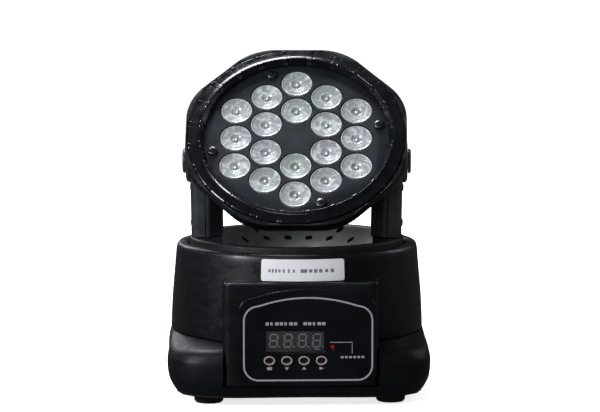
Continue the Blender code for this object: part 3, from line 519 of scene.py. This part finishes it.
def make_head_back():
    """The rear shell, with cooling grooves above and below and a rounded back edge."""
    stations = ((-19.2, 48, 65), (0, 48, 50), (12, 47.9, 40.9), (22.5, 37.9, 32.9))
    count = 384

    def groove(depth):
        def at(x, u):
            if abs(u) < 20 or abs(x) > 31:
                return 0.0
            phase = (x / 6.2) % 1.0
            dip = max(0.0, 1 - abs(phase - 0.5) / 0.17)
            return depth * min(1.0, dip * 1.6)
        return at

    rows = []
    for y in (-19.2, -18.4, -15.0, -13.2, -12.4, -8, -4, 0, 3, 6, 8.4, 9.2, 12, 14.5, 17, 19.5):
        half_x, half_u = between(stations, y)
        deep = 1.1 if -12.5 <= y <= 8.5 else 0.0
        rows.append((squircle(half_x, half_u, count, groove(deep)), -y))
    for y, pull in ((20.8, 0.3), (21.7, 0.9), (22.3, 1.9)):
        half_x, half_u = between(stations, y)
        rows.append((squircle(half_x - pull, half_u - pull, count), -y))
    rows += [(circle(24.2, count), -22.45), (circle(23.5, count), -21.9), (circle(23.5, count), -20.0),
             (squircle(37.2, 31.8, count), -20.0)]
    for y in (12, 0, -19.2):
        half_x, half_u = between(stations, y)
        rows.append((squircle(half_x - 2.4, half_u - 3.2, count), -y))
    bm = skin(bmesh.new(), levels(rows), closed=True)
    piece = make("head_back_ribbed", ahead(bm), "head", "head",
                 "head_rear_shell", 30)
    hole = slab(circle(8.8, 48), -60, 60, HEAD @ Matrix.Rotation(pi / 2, 4, "Y"))
    return cut(piece, hole)


def lens_places():
    places = []
    for column in range(-2, 3):
        rows = 5 - abs(column)
        for row in range(rows):
            u = (row - (rows - 1) / 2) * LENS_PITCH
            if column or abs(u) > 1e-6:
                places.append((column * LENS_PITCH * sqrt(3) / 2, u))
    return places


def make_lens_plate():
    rim = [(65.0, 25.0), (65.4, 24.8), (65.5, 24.5), (65.5, 22.8)]
    bm = skin(bmesh.new(), [[(x, y, h) for x, y in circle(r, 192)] for r, h in rim])
    plate = make("lens_plate_fine", ahead(bm), "plate", "head", "lens_plate", 30)
    holes = bmesh.new()
    for x, u in lens_places():
        merge(holes, slab(circle(LENS_HOLE_R, 64, (x, u)), 20, 30, FORWARD))
    cut(plate, holes)
    return soften(plate, 0.3, 3, 50)


def make_optics():
    """Eighteen collimators: a rim that carries a painted highlight, a fluted dished wall and a well over the
    LED.
    """
    bm = bmesh.new()
    reach = bm.verts.layers.float.new("reach")
    count = 96
    profile = ((6.3, 21.0), (10.35, 22.6), (10.4, 24.6), (10.3, 25.05), (10.05, 25.28), (9.75, 25.22),
               (9.55, 24.9), (9.2, 24.75), (8.4, 24.66), (7.4, 24.52), (6.3, 24.33), (5.3, 24.14),
               (4.7, 24.02), (4.35, 24.08),
               (4.0, 24.06), (3.6, 23.8), (3.1, 23.3), (2.5, 23.0), (1.9, 23.0), (1.2, 23.1), (0.4, 23.15))
    for number, (x, u) in enumerate(lens_places()):
        turn = number * 0.37
        rings = []
        for r, h in profile:
            ring = []
            for i in range(count):
                a = tau * i / count + turn
                wave = cos(12 * a) * (0.02 if 4.9 < r < 9.3 else 0.0)
                ring.append((x + r * cos(a), u + r * sin(a), h + wave))
            rings.append(ring)
        rows = [[bm.verts.new(p) for p in ring] for ring in rings]
        # reach, from the centre to the rim, places the painted highlight and shade of the lens material.
        for (r, h), row in zip(profile, rows):
            for v in row:
                v[reach] = r / LENS_RIM_R if h > 22.3 else 1.0
        for low, high in zip(rows, rows[1:]):
            for i in range(count):
                j = (i + 1) % count
                bm.faces.new((low[i], low[j], high[j], high[i]))
        bm.faces.new(rows[-1])
        bm.faces.new(list(reversed(rows[0])))
    merge(bm, skin(bmesh.new(), [[(x, y, h) for x, y in circle(65, 96)] for h in (21.25, 22.3)]))
    make("lens_optics", ahead(bm), "optic", "head", "lens_array", 40)
    chips = bmesh.new()
    for x, u in lens_places():
        merge(chips, block((x - 1.4, u - 1.4, 22.9), (x + 1.4, u + 1.4, 23.2)))
    make("led_chips", shift(chips, FORWARD), "chip", "head")
    # The domes' glow is a painted highlight.
    domes = bmesh.new()
    for x, u in lens_places():
        turned(((1.15, 23.15), (1.05, 23.5), (0.75, 23.8), (0.3, 23.95)), 24, Matrix.Identity(4), False,
               (x, u), domes)
    make("led_domes", shift(domes, FORWARD), "chip_dome", "head")


def phillips(name, matrix, radius, height, look, body, node=None):
    """A pan head with a cross recess, lying on local Z = 0."""
    profile = [(radius, 0), (radius, height * 0.35), (radius * 0.93, height * 0.62),
               (radius * 0.74, height * 0.86), (radius * 0.42, height * 0.98), (radius * 0.1, height)]
    piece = make(name, turned(profile, 40, matrix, False), look, body, node, 50)
    cross = bmesh.new()
    arm, half = radius * 0.62, radius * 0.13
    merge(cross, block((-arm, -half, height * 0.35), (arm, half, height * 2), matrix))
    cut(piece, cross)
    cross = block((-half, -arm, height * 0.35), (half, arm, height * 2), matrix)
    return cut(piece, cross)


def make_plate_screws():
    for number in range(1, 5):
        low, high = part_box(f"plate_screw_{number}")
        middle = HEAD.inverted() @ ((low + high) / 2)
        place = (HEAD @ Matrix.Translation((middle.x, PLATE_SCREW_Y * MM, middle.z))
                 @ Matrix.Rotation(pi / 2, 4, "X") @ Matrix.Rotation(0.5 + number, 4, "Z"))
        phillips(f"plate_screw_head_{number}", place, 3.6, 1.6, "screw", "head",
                 f"plate_screw_{number}")


# ---------- yoke ----------

ARM_IN, ARM_OUT, ARM_SPLIT, ARM_HALF = 51.0, 71.6, 61.6, 18.0
ARM_LEAN = 0.018


def arm_outline(half, bottom, x, side):
    """One station of an arm: a bar with a round top about the tilt axis, leaning out slightly."""
    axis_z = AXIS.z / MM
    points = [(half, bottom)] + arc((0, axis_z), half, 0, 180, 36) + [(-half, bottom)]
    return [(side * (x + ARM_LEAN * (z - axis_z)), y, z) for y, z in points]


def tray(outer, hollow):
    """A shell open on one side, between an outer and an inner skin, in the yoke's frame."""
    bm = bmesh.new()
    rows = [[bm.verts.new(p) for p in ring] for ring in outer + hollow]
    count = len(rows[0])
    split = len(outer)
    pairs = [(rows[i], rows[i + 1]) for i in range(len(rows) - 1) if i != split - 1] + [(rows[-1], rows[0])]
    for low, high in pairs:
        for i in range(count):
            j = (i + 1) % count
            bm.faces.new((low[i], low[j], high[j], high[i]))
    bm.faces.new(rows[split - 1])
    bm.faces.new(rows[split])
    return shift(millimetres(bm), YOKE)


def make_arm(name, side):
    foot = DECK_Z + 0.3
    floor = foot + 2
    sideways = YOKE @ Matrix.Translation((0, 0, AXIS.z)) @ Matrix.Rotation(side * pi / 2, 4, "Y")
    outer = [arm_outline(h, foot, x, side) for x, h in
             ((ARM_SPLIT - 0.1, ARM_HALF), (59.4, ARM_HALF), (58.7, 17.75), (58.2, 17.35), (51.9, 11.3),
              (51.3, 10.6), (ARM_IN, 9.8))]
    hollow = [arm_outline(h, floor, x, side) for x, h in ((53.0, 8.6), (59.4, 16.0), (ARM_SPLIT - 0.1, 16.0))]
    cover = make(f"{name}_inner_cover_fine", tray(outer, hollow), "arm", "yoke", f"{name}_inner_cover",
                 24)
    cut(cover, slab(circle(9.1, 48), 40, 60, sideways))
    soften(cover, 0.4, 2, 50)

    split = ARM_SPLIT + 0.4
    outer = [arm_outline(h, foot, x, side) for x, h in
             ((split, ARM_HALF), (67.5, ARM_HALF), (68.2, 17.7), (70.9, 14.9), (71.4, 14.2), (ARM_OUT, 13.6))]
    hollow = [arm_outline(h, floor, x, side) for x, h in ((70.2, 12.9), (67.6, 16.0), (split, 16.0))]
    cover = make(f"{name}_outer_cover_fine", tray(outer, hollow), "arm", "yoke", f"{name}_outer_cover",
                 24)
    boss = turned([(14.6, 70.6), (14.6, 73.0), (14.3, 73.7), (13.7, 74.2), (12.9, 74.6), (11.9, 74.8)], 72,
                  sideways, False)
    cut(cover, boss, "UNION")
    soften(cover, 0.4, 2, 50)

    cap = [(8.3, 75.2), (8.3, 76.1), (8.1, 76.6), (7.6, 77.0), (6.9, 77.15), (6.3, 77.0), (5.9, 76.7),
           (2.0, 76.7), (1.4, 76.9), (0.4, 76.95)]
    make(f"{name}_pivot_cap_fine", turned(cap, 64, sideways, False), "arm", "yoke",
         f"{name}_pivot_cap", 40)
    for number, z in enumerate((112.0, 136.0), 1):
        lean = ARM_LEAN * (z - AXIS.z / MM)
        place = (YOKE @ Matrix.Translation((side * (ARM_OUT + lean) * MM, 0, z * MM))
                 @ Matrix.Rotation(side * pi / 2, 4, "Y") @ Matrix.Rotation(number * 0.8, 4, "Z"))
        phillips(f"{name}_cover_screw_{number}", place, 2.7, 1.1, "screw", "yoke")


def make_turntable():
    """The dished deck, with its raised rim, arm seats and two rows of short vents."""
    axis_z = AXIS.z / MM
    dish = 83.5

    def bowl(radius, start, end, steps):
        first, last = (asin(r / radius) for r in (start, end))
        turns = [first + (last - first) * i / steps for i in range(steps + 1)]
        return [(radius * sin(t), axis_z - radius * cos(t)) for t in turns]

    edge = sqrt(dish ** 2 - (axis_z - DECK_Z) ** 2)
    top = [(10.9, 70.1), (11.4, 70.95)] + bowl(dish, 12.5, edge - 0.7, 26)
    top += [(edge - 0.1, DECK_Z - 0.35), (edge + 0.5, DECK_Z - 0.08), (edge + 1.3, DECK_Z)]
    top += [(71.0, DECK_Z), (71.8, DECK_Z - 0.2), (72.3, DECK_Z - 0.7), (72.5, DECK_Z - 1.5), (72.5, 90)]
    under = [(70.3, 90), (70.3, 100)] + bowl(dish + 3, 20, 66, 8)[::-1] + [(20, 63.4), (10.9, 63.4)]
    bm = turned(top + under, 192, YOKE)
    table = make("turntable_fine", bm, "deck", "yoke", "turntable", 30)
    for side in (-1, 1):
        low, high = sorted((side * (ARM_IN + 0.5), side * 67.0))
        seat = block((low, -ARM_HALF + 1.2, 86.8), (high, ARM_HALF - 1.2, DECK_Z - 0.02), YOKE)
        cut(table, seat, "UNION")
    slots = bmesh.new()
    for side in (-1, 1):
        for columns, r in (((-29.2, -14.6, 0, 14.6, 29.2), 64.1),
                           ((-36.5, -21.9, -7.3, 7.3, 21.9, 36.5), 58.6)):
            for x in columns:
                y = side * sqrt(r * r - x * x)
                outline = arc((x - 1.3, y), 1.25, 90, 270, 6) + arc((x + 1.3, y), 1.25, -90, 90, 6)
                merge(slots, slab(outline, 76, 112, YOKE))
    cut(table, slots)
    for number in range(6):
        a = radians(25 + 60 * number + (10 if number % 2 else 0))
        reach = DECK_SCREW_R * MM
        place = YOKE @ Matrix.Translation((reach * cos(a), reach * sin(a), (DECK_Z - 0.9) * MM))
        phillips(f"deck_screw_{number + 1}", place, 2.0, 1.0, "steel", "yoke")


# ---------- base ----------

def nose_radius(a, ease, wall):
    """Distance to the flat noses in a direction, with their corners slightly rounded."""
    c, s = abs(sin(a)), abs(cos(a))
    front = NOSE_Y - wall - ease
    half = NOSE_HALF - wall - ease
    return ((c / front) ** 30 + (s / half) ** 30) ** (-1 / 30)


def make_housing():
    """The upper shell: a round collar that grows two flat noses, front and rear."""
    count = 720
    edge = 1.5
    column = [(NOSE_BOTTOM, 80.0), (NOSE_BOTTOM, 82.5), (41.3, 82.5), (41.32, 84.4), (41.7, 85.0),
              (42.5, 85.2), (50, 85.0), (58, 84.65), (65, 84.2), (72, 83.65), (80.6, 82.85), (82.2, 82.7),
              (86, 82.4), (90, 82.05), (94, 81.7), (96.4, 81.4), (97.8, 81.05), (98.8, 80.5), (99.4, 79.8),
              (RIM_Z, 78.9), (RIM_Z, 75.6), (99.5, 74.8), (99.0, 74.1), (98.2, 73.65), (97, 73.6), (86, 73.6),
              (86, 75.9), (95.8, 76.3), (95.8, 78.8), (82, 80.0), (79.6, 80.2)]

    def outer_ease(z):
        if z > NOSE_TOP + 1e-6 or z < NOSE_BOTTOM - 1e-6:
            return None
        from_top = z - (NOSE_TOP - edge)
        from_bottom = (NOSE_BOTTOM + edge) - z
        over = max(from_top, from_bottom, 0.0)
        return edge - sqrt(max(edge ** 2 - over ** 2, 0.0))

    def radius_at(z):
        for (z0, r0), (z1, r1) in zip(column[1:], column[2:20]):
            if z0 <= z <= z1 and z1 > z0:
                return r0 + (r1 - r0) * (z - z0) / (z1 - z0)
        return column[1][1]

    rows = [(NOSE_BOTTOM, 80.0, None)]
    nose_levels = [NOSE_BOTTOM + edge * (1 - cos(radians(18 * i))) for i in range(6)]
    nose_levels += [20, 26, 32, 38, 41.3, 41.32, 41.7, 42.5, 50, 58, 65, 72, 78]
    nose_levels += [NOSE_TOP - edge + edge * sin(radians(18 * i)) for i in range(6)]
    for z in nose_levels:
        rows.append((z, radius_at(z), outer_ease(min(z, NOSE_TOP))))
    above = column[column.index((82.2, 82.7)):]
    rows += [(z, r, None) for z, r in above]
    rings = []
    for z, r, ease in rows:
        ring = []
        for i in range(count):
            a = tau * (i + 0.5) / count
            reach = r if ease is None else max(r, nose_radius(a, ease, 0.0))
            ring.append((reach * cos(a), reach * sin(a), z))
        rings.append(ring)
    for z, r in ((79.5, 80.3), (62, 81.6), (45, 82.0), (42.5, 79.9), (NOSE_BOTTOM + 2.5, 79.9)):
        ring = []
        for i in range(count):
            a = tau * i / count
            reach = max(r, nose_radius(a, 0.0, 2.5))
            ring.append((reach * cos(a), reach * sin(a), z))
        rings.append(ring)
    bm = skin(bmesh.new(), rings, closed=True)
    housing = make("base_housing_fine", millimetres(bm), "shell", "root", "base_housing", 30)
    windows = block((-37, -95, 21), (43, -80, 67))
    merge(windows, block((-42, 80, 21), (42, 95, 71)))
    return cut(housing, windows)


def skirt_ring(z, share, inset, radius, count):
    """One level of the skirt, between a circle and a square with bulged corners."""
    points = []
    for i in range(count):
        a = tau * (i + 0.5) / count
        square = abs(cos(a)) ** 5 + abs(sin(a)) ** 5
        bulged = 88.7 / square ** 0.2 * (1 - 0.02 * cos(2 * a) ** 2)
        r = radius * (1 - share) + (bulged - inset) * share
        points.append((r * cos(a), r * sin(a), z))
    return points


def smooth_rows(rows, steps):
    """Pass a smooth curve through rows of numbers."""
    made = []
    for i in range(len(rows) - 1):
        before, start, end, after = (rows[max(0, min(len(rows) - 1, j))] for j in (i - 1, i, i + 1, i + 2))
        for k in range(steps):
            t = k / steps
            made.append([0.5 * (2 * b + (c - a) * t + (2 * a - 5 * b + 4 * c - d) * t * t
                                + (3 * b - a - 3 * c + d) * t ** 3)
                         for a, b, c, d in zip(before, start, end, after)])
    return made + [list(rows[-1])]


def make_skirt():
    count = 400
    outer = smooth_rows([(8.3, 1, 5.0), (15, 1, 1.2), (24, 1, 0), (31, 1, 0.8), (37, 0.75, 0.5), (41, 0, 0)],
                        7)
    rings = [skirt_ring(z, share, inset, 85.4, count) for z, share, inset in outer]
    rings += [skirt_ring(z, share, inset, 82.8, count)
              for z, share, inset in ((41, 0, 0), (36.5, 0, 0), (28, 1, 3.6), (8.3, 1, 7.4))]
    skirt = make("base_skirt_fine", millimetres(skin(bmesh.new(), rings, closed=True)), "skirt",
                 "root",
                 "base_skirt", 30)
    gaps = block((-50.8, -100, 13.7), (50.8, -60, 60))
    merge(gaps, block((-50.8, 60, 13.7), (50.8, 100, 60)))
    cut(skirt, gaps)
    return soften(skirt, 0.5, 2, 50)


PANEL_X = 4.4
FRONT = Matrix.Rotation(pi / 2, 4, "X")          # local Y up, local Z towards the front


def on_panel():
    """The frame of the panel's face, with local Z = 0 on it."""
    return Matrix.Translation((0, PANEL_FACE, 0)) @ FRONT


def panel_outline(half, bottom, crest, arch_r, corner):
    """Straight bottom, round corners and an arched top, centred on the panel."""
    steps = 10
    shoulder = crest - (arch_r - sqrt(arch_r ** 2 - (half - corner) ** 2))
    lean = degrees(asin((half - corner) / arch_r))
    points = arc((-half + corner, bottom + corner), corner, 180, 270, steps)
    points += arc((half - corner, bottom + corner), corner, 270, 360, steps)
    points += arc((half - corner, shoulder - corner), corner, 0, 90 - lean, steps)
    points += arc((0, crest - arch_r), arch_r, 90 - lean, 90 + lean, 48)[1:-1]
    points += arc((-half + corner, shoulder - corner), corner, 90 + lean, 180, steps)
    return [(x + PANEL_X, z) for x, z in points]


def oval(x, z, rx, rz):
    count = 48
    return [(x + rx * cos(tau * i / count), z + rz * sin(tau * i / count))
            for i in range(count)]


BUTTONS = {name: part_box(f"button_{name}") for name in ("menu", "down", "up", "enter")}


KEY_ICONS = {
    "menu": [(-1.6, -0.9), (1.6, -0.9), (1.6, 0.9), (-1.6, 0.9)],
    "down": [(-1.4, 0.8), (0, -1.2), (1.4, 0.8)],
    "up": [(-1.4, -0.8), (1.4, -0.8), (0, 1.2)],
    "enter": [(-1.3, -1.1), (1.4, 0), (-1.3, 1.1)],
}


def make_panel():
    """The raised arched plate, its printed border and marks."""
    outline = panel_outline(45.0, 15.6, 78.7, 116.0, 9.0)
    panel = make("control_panel_fine", slab(outline, -1.8, 0, on_panel()), "panel", "root",
                 "control_panel",
                 30)
    low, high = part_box("display_window")
    holes = block((low.x / MM - 0.3, low.z / MM - 0.3, -10), (high.x / MM + 0.3, high.z / MM + 0.3, 10),
                  on_panel())
    for low, high in BUTTONS.values():
        x, z = (low.x + high.x) / 2 / MM, (low.z + high.z) / 2 / MM
        merge(holes, slab(oval(x, z, 3.9, 3.2), -10, 10, on_panel()))
    lamp_low, lamp_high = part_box("signal_lamp")
    lamp = (lamp_low + lamp_high) / 2 / MM
    merge(holes, slab(circle(1.8, 32, (lamp.x, lamp.z)), -10, 10, on_panel()))
    cut(panel, holes)
    soften(panel, 0.55, 3, 50)

    border = panel_outline(41.7, 18.8, 72.8, 98.0, 9.5)
    make("printed_border", ribbon(border, 1.05, 0, 0.06, on_panel()), "print", "root")
    marks = bmesh.new()
    for i in range(13):
        width = (2.1, 1.5, 2.4)[i % 3]
        x = -23.2 + i * 3.06
        if i != 7:
            merge(marks, block((x, 54.9, 0), (x + width, 56.9, 0.06), on_panel()))
    merge(marks, ribbon([(18.6, 43.6), (33.0, 43.6), (33.0, 36.2)], 0.45, 0, 0.06, on_panel(), closed=False))
    for i in range(6):
        merge(marks, block((25.6 + i * 2.7, 33.2, 0), (27.4 + i * 2.7, 34.5, 0.06), on_panel()))
    for name, (low, high) in BUTTONS.items():
        x, z = (low.x + high.x) / 2 / MM, 26.6
        icon = KEY_ICONS[name]
        merge(marks, slab([(x + px, z + pz) for px, pz in icon], 0, 0.06, on_panel()))
    make("printed_marks", marks, "print", "root")


SEGMENT_W = 1.0


def digit(x, z, half_w, half_h, slant):
    """The seven bars and the point of one digit, as outlines."""
    def bar(x0, z0, x1, z1):
        length = hypot(x1 - x0, z1 - z0)
        ux, uz = (x1 - x0) / length, (z1 - z0) / length
        gap, w = 0.22, SEGMENT_W / 2
        ends = []
        for px, pz, sign in ((x0, z0, 1), (x1, z1, -1)):
            ends.append((px + ux * gap * sign, pz + uz * gap * sign))
        (ax, az), (bx, bz) = ends
        corner = w * 0.9
        shape = [(ax, az), (ax + ux * corner - uz * w, az + uz * corner + ux * w),
                 (bx - ux * corner - uz * w, bz - uz * corner + ux * w), (bx, bz),
                 (bx - ux * corner + uz * w, bz - uz * corner - ux * w),
                 (ax + ux * corner + uz * w, az + uz * corner - ux * w)]
        return [(px + slant * (pz - z), pz) for px, pz in shape]

    rows = (z - half_h, z, z + half_h)
    bars = [bar(x - half_w, level, x + half_w, level) for level in rows]
    for low, high in zip(rows, rows[1:]):
        bars += [bar(side, low, side, high) for side in (x - half_w, x + half_w)]
    return bars + [circle(0.62, 16, (x + half_w + 1.35, z - half_h + 0.1))]


def make_display():
    low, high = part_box("display_module")
    x_low, x_high, z_low, z_high = (v / MM for v in (low.x, high.x, low.z, high.z))
    front = Matrix.Translation((0, low.y, 0)) @ FRONT
    face = [(x_low, z_low), (x_high, z_low), (x_high, z_high), (x_low, z_high)]
    make("display_module_fine", slab(face, -8, 0, front), "face", "root", "display_module")
    digits = bmesh.new()
    for i in range(4):
        x = -19.9 + 9.35 * i + 1.9
        for shape in digit(x, 44.6, 2.4, 4.1, 0.09):
            merge(digits, slab(shape, 0, 0.08, front))
    merge(digits, block((x_high - 6.2, z_low + 1.2, 0), (x_high - 3.0, z_low + 2.0, 0.08), front))
    merge(digits, block((x_high - 2.2, z_high - 5.2, 0), (x_high - 1.4, z_high - 2.2, 0.08), front))
    make("display_digits", digits, "segment", "root")


def make_buttons():
    """Each key is an oval cap with a pale raised rim round a dark dished middle."""
    for name, (low, high) in BUTTONS.items():
        x, z = (low.x + high.x) / 2 / MM, (low.z + high.z) / 2 / MM
        top = (PANEL_FACE - low.y) / MM

        def dish(profile):
            rings = [[(px, pz, h) for px, pz in oval(x, z, rx, rz)] for rx, rz, h in profile]
            return shift(millimetres(skin(bmesh.new(), rings)), on_panel())

        cap = ((3.3, 2.6, -8.2), (3.6, 2.9, -8.0), (3.6, 2.9, top - 0.45), (2.8, 2.15, top - 0.35),
               (2.5, 1.9, top - 0.6), (1.4, 1.0, top - 0.75), (0.3, 0.2, top - 0.8))
        make(f"button_{name}_cap", dish(cap), "key", f"button_{name}", f"button_{name}", 40)
        rim = ((3.66, 2.96, top - 1.0), (3.66, 2.96, top - 0.3), (3.5, 2.8, top - 0.08),
               (3.2, 2.5, top - 0.02),
               (2.9, 2.2, top - 0.12), (2.75, 2.05, top - 0.4), (2.75, 2.05, top - 1.0))
        rings = [[(px, pz, h) for px, pz in oval(x, z, rx, rz)] for rx, rz, h in rim]
        bm = shift(millimetres(skin(bmesh.new(), rings, closed=True)), on_panel())
        make(f"button_{name}_rim", bm, "key_ring", f"button_{name}", smooth_deg=50)


def make_label():
    """A pale label bent round the collar, with faint bars where print would be."""
    low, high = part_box("label_sticker")
    z0, z1 = low.z / MM, high.z / MM
    first, last = (degrees(asin(x / (LABEL_R * MM))) for x in (low.x, high.x))
    corner = 1.3

    def wall(z):
        return 83.0 - (z - 82.9) * 1.2 / 14.1

    def patch(a0, a1, za, zb, r_in, r_out, round_off, steps):
        rows = []
        for i in range(steps + 1):
            a = a0 + (a1 - a0) * i / steps
            side = min(a - a0, a1 - a) * pi / 180 * 82.5
            cut_in = 0.0
            if side < round_off:
                cut_in = round_off - sqrt(max(round_off ** 2 - (round_off - side) ** 2, 0))
            ring = []
            for z, lift in ((za + cut_in, r_in), (zb - cut_in, r_in), (zb - cut_in, r_out),
                            (za + cut_in, r_out)):
                r = wall(z) + lift
                ring.append((r * sin(radians(a)), -r * cos(radians(a)), z))
            rows.append(ring)
        return millimetres(skin(bmesh.new(), rows))

    make("label_film", patch(first, last, z0, z1, 0.15, 0.5, corner, 96), "label", "root",
         "label_sticker", 30)
    marks = bmesh.new()
    edges = (0.09, 0.13, 0.17, 0.21, 0.26, 0.32, 0.38, 0.47, 0.51, 0.57, 0.63, 0.69, 0.76, 0.83)
    for i, share in enumerate(edges):
        a = first + (last - first) * share
        tall = 2.4 if i % 3 else 2.0
        merge(marks,
              patch(a, a + (0.9 if i < 7 else 1.5), 89.6 - tall / 2, 89.6 + tall / 2, 0.49, 0.53, 0.0, 3))
    make("label_marks", marks, "label_print", "root")


# ---------- rear panel and small goods ----------

REAR = Matrix.Rotation(-pi / 2, 4, "X")          # local Z towards the rear, local Y down


def make_rear_goods():
    low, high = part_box("rear_panel")
    face = high.y
    number = 0
    for x in (low.x + 0.006, high.x - 0.006):
        for z in (low.z + 0.005, high.z - 0.005):
            number += 1
            place = Matrix.Translation((x, face - 0.0002, z)) @ REAR @ Matrix.Rotation(number, 4, "Z")
            phillips(f"rear_panel_screw_{number}", place, 2.4, 1.1, "screw", "root")
    for node, female in (("dmx_input", False), ("dmx_output", True)):
        low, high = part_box(node)
        centre = (low + high) / 2
        place = Matrix.Translation((centre.x, 0, centre.z)) @ REAR
        top = high.y / MM
        depth = 74 if not female else 82
        if female:
            profile = [(1.2, 64), (11, 64), (11, 88.1), (12.6, 88.5), (13, 88.9), (13, top - 0.4),
                       (12.6, top), (9.3, top), (9.0, top - 0.3), (9, depth), (7.6, depth), (7.6, top - 0.8),
                       (7.3, top - 0.45), (1.2, top - 0.45)]
        else:
            profile = [(3, 64), (11, 64), (11, 88.1), (12.6, 88.5), (13, 88.9), (13, top - 0.4), (12.6, top),
                       (8.6, top), (8.2, top - 0.4), (8.2, depth), (3, depth)]
        piece = make(f"{node}_fine", turned(profile, 72, place), "socket", "root", node, 40)
        pins = bmesh.new()
        for k in range(3):
            a = radians(90 + 120 * k)
            px, py = 4.6 * cos(a), 4.6 * sin(a)
            if female:
                merge(pins,
                      turned(((1.5, top - 3), (1.5, top - 0.4), (1.1, top - 0.4), (1.1, top - 3)), 24, place,
                                   True, (px, py)))
            else:
                merge(pins, turned(((1.2, 73.5), (1.2, 82.5), (0.9, 83.3), (0.4, 83.7)), 24, place, False,
                                   (px, py)))
        if female:
            wells = bmesh.new()
            for k in range(3):
                a = radians(90 + 120 * k)
                merge(wells,
                      slab(circle(1.5, 24, (4.6 * cos(a), 4.6 * sin(a))), top - 3, top + 2, place))
            cut(piece, wells)
        make(f"{node}_contacts", pins, "brass", "root", smooth_deg=50)
    soften(frame["nodes"]["power_switch"], 0.5, 3, 30)


def finish_cad_nodes():
    """Give the CAD nodes that stay their materials, and soften the visible ones."""
    looks = {
        "steel": ("pan_bridge", "pan_bearing", "pan_motor", "pan_shaft", "left_arm_bracket",
                  "right_arm_bracket", "tilt_motor"),
        "alloy": ("power_supply", "pan_pulley", "pan_motor_pulley", "tilt_motor_pulley", "tilt_pulley",
                  "led_board",
                  "heat_sink", "left_trunnion", "right_trunnion"),
        "screw": ("rear_grille",),
        "rubber": ("foot_1", "foot_2", "foot_3", "foot_4"),
        "belt": ("pan_belt", "tilt_belt"),
        "panel": ("rear_panel",),
        "socket": ("base_plate", "power_inlet", "switch_frame", "fan_frame", "fan_rotor"),
        "rocker": ("power_switch",),
        "lamp": ("signal_lamp",),
        "window": ("display_window",),
        "board": ("control_board",),
    }
    soft = {"base_plate": 0.4, "rear_panel": 0.4, "power_inlet": 0.4, "switch_frame": 0.4, "fan_frame": 0.3,
            "rear_grille": 0.25, "display_window": 0.15, "foot_1": 0.6, "foot_2": 0.6, "foot_3": 0.6,
            "foot_4": 0.6}
    for look, nodes in looks.items():
        for node in nodes:
            piece = frame["nodes"][node]
            piece.data.materials.clear()
            piece.data.materials.append(LOOKS[look])
            piece.data.shade_smooth()
            piece.data.set_sharp_from_angle(angle=radians(40))
            if node in soft:
                soften(piece, soft[node], 2, 40)


# ---------- stage ----------

def make_stage():
    """A pale floor, soft lights and the camera."""
    bm = bmesh.new()
    bm.faces.new([bm.verts.new(p) for p in ((-12, -4, 0), (12, -4, 0), (12, 30, 0), (-12, 30, 0))])
    mesh = bpy.data.meshes.new("floor")
    bm.to_mesh(mesh)
    bm.free()
    floor = bpy.data.objects.new("floor", mesh)
    bpy.context.scene.collection.objects.link(floor)
    mesh.materials.append(plain("floor_paint", (0.92, 0.92, 0.92), 0.8, 0.02, 3, 60, 0.1, 0.00003, 0.84))
    floor.visible_glossy = False
    floor.visible_diffuse = False

    for name, at, size, watts, look_at in (
            ("key", (-1.35, -0.85, 0.75), 0.5, 20, (0, 0, 0.13)),
            ("top", (-0.2, 0.5, 1.2), 0.45, 17, (0, 0, 0.12)),
            ("front", (-0.35, -1.7, 1.3), 0.5, 4, (0, 0, 0.15)),
            ("back", (-0.7, 1.3, 0.8), 0.7, 6, (0, 0, 0.12)),
            ("right", (1.4, 0.7, 0.8), 0.6, 3, (0, 0, 0.12))):
        light = bpy.data.lights.new(name, "AREA")
        light.shape = "SQUARE"
        light.size = size
        light.energy = watts
        light.color = (0.92, 0.96, 1.0)
        lamp = bpy.data.objects.new(name, light)
        lamp.location = at
        lamp.rotation_euler = (Vector(look_at) - Vector(at)).to_track_quat("-Z", "Y").to_euler()
        bpy.context.scene.collection.objects.link(lamp)

    world = bpy.data.worlds.new("studio")
    world.use_nodes = True
    tree = world.node_tree
    backdrop = tree.nodes["Background"]
    backdrop.inputs["Color"].default_value = (1, 1, 1, 1)
    path = tree.nodes.new("ShaderNodeLightPath")
    seen = ramp(tree, path.outputs["Is Camera Ray"], 0.35, 1.0, 0.0, 1.0)
    gloss = ramp(tree, path.outputs["Is Glossy Ray"], 1.0, 0.16, 0.0, 1.0)
    level = tree.nodes.new("ShaderNodeMath")
    level.operation = "MULTIPLY"
    tree.links.new(seen, level.inputs[0])
    tree.links.new(gloss, level.inputs[1])
    tree.links.new(level.outputs["Value"], backdrop.inputs["Strength"])
    bpy.context.scene.world = world
    bpy.context.scene.view_settings.view_transform = "Standard"

    azimuth, elevation, distance = radians(-2.0), radians(6.3), 1.83
    target = Vector((0.0022, 0, 0.1229))
    lens = bpy.data.cameras.new("camera")
    lens.sensor_width = 36
    lens.lens = 162
    camera = bpy.data.objects.new("camera", lens)
    away = Vector((sin(azimuth) * cos(elevation), -cos(azimuth) * cos(elevation),
                   sin(elevation)))
    camera.location = target + away * distance
    camera.rotation_euler = (-away).to_track_quat("-Z", "Y").to_euler()
    bpy.context.scene.collection.objects.link(camera)
    bpy.context.scene.camera = camera


make_stage()
make_ring()
make_head_frame()
make_head_back()
make_lens_plate()
make_optics()
make_plate_screws()
make_arm("left_arm", -1)
make_arm("right_arm", 1)
make_turntable()
make_housing()
make_skirt()
make_panel()
make_display()
make_buttons()
make_label()
make_rear_goods()
finish_cad_nodes()
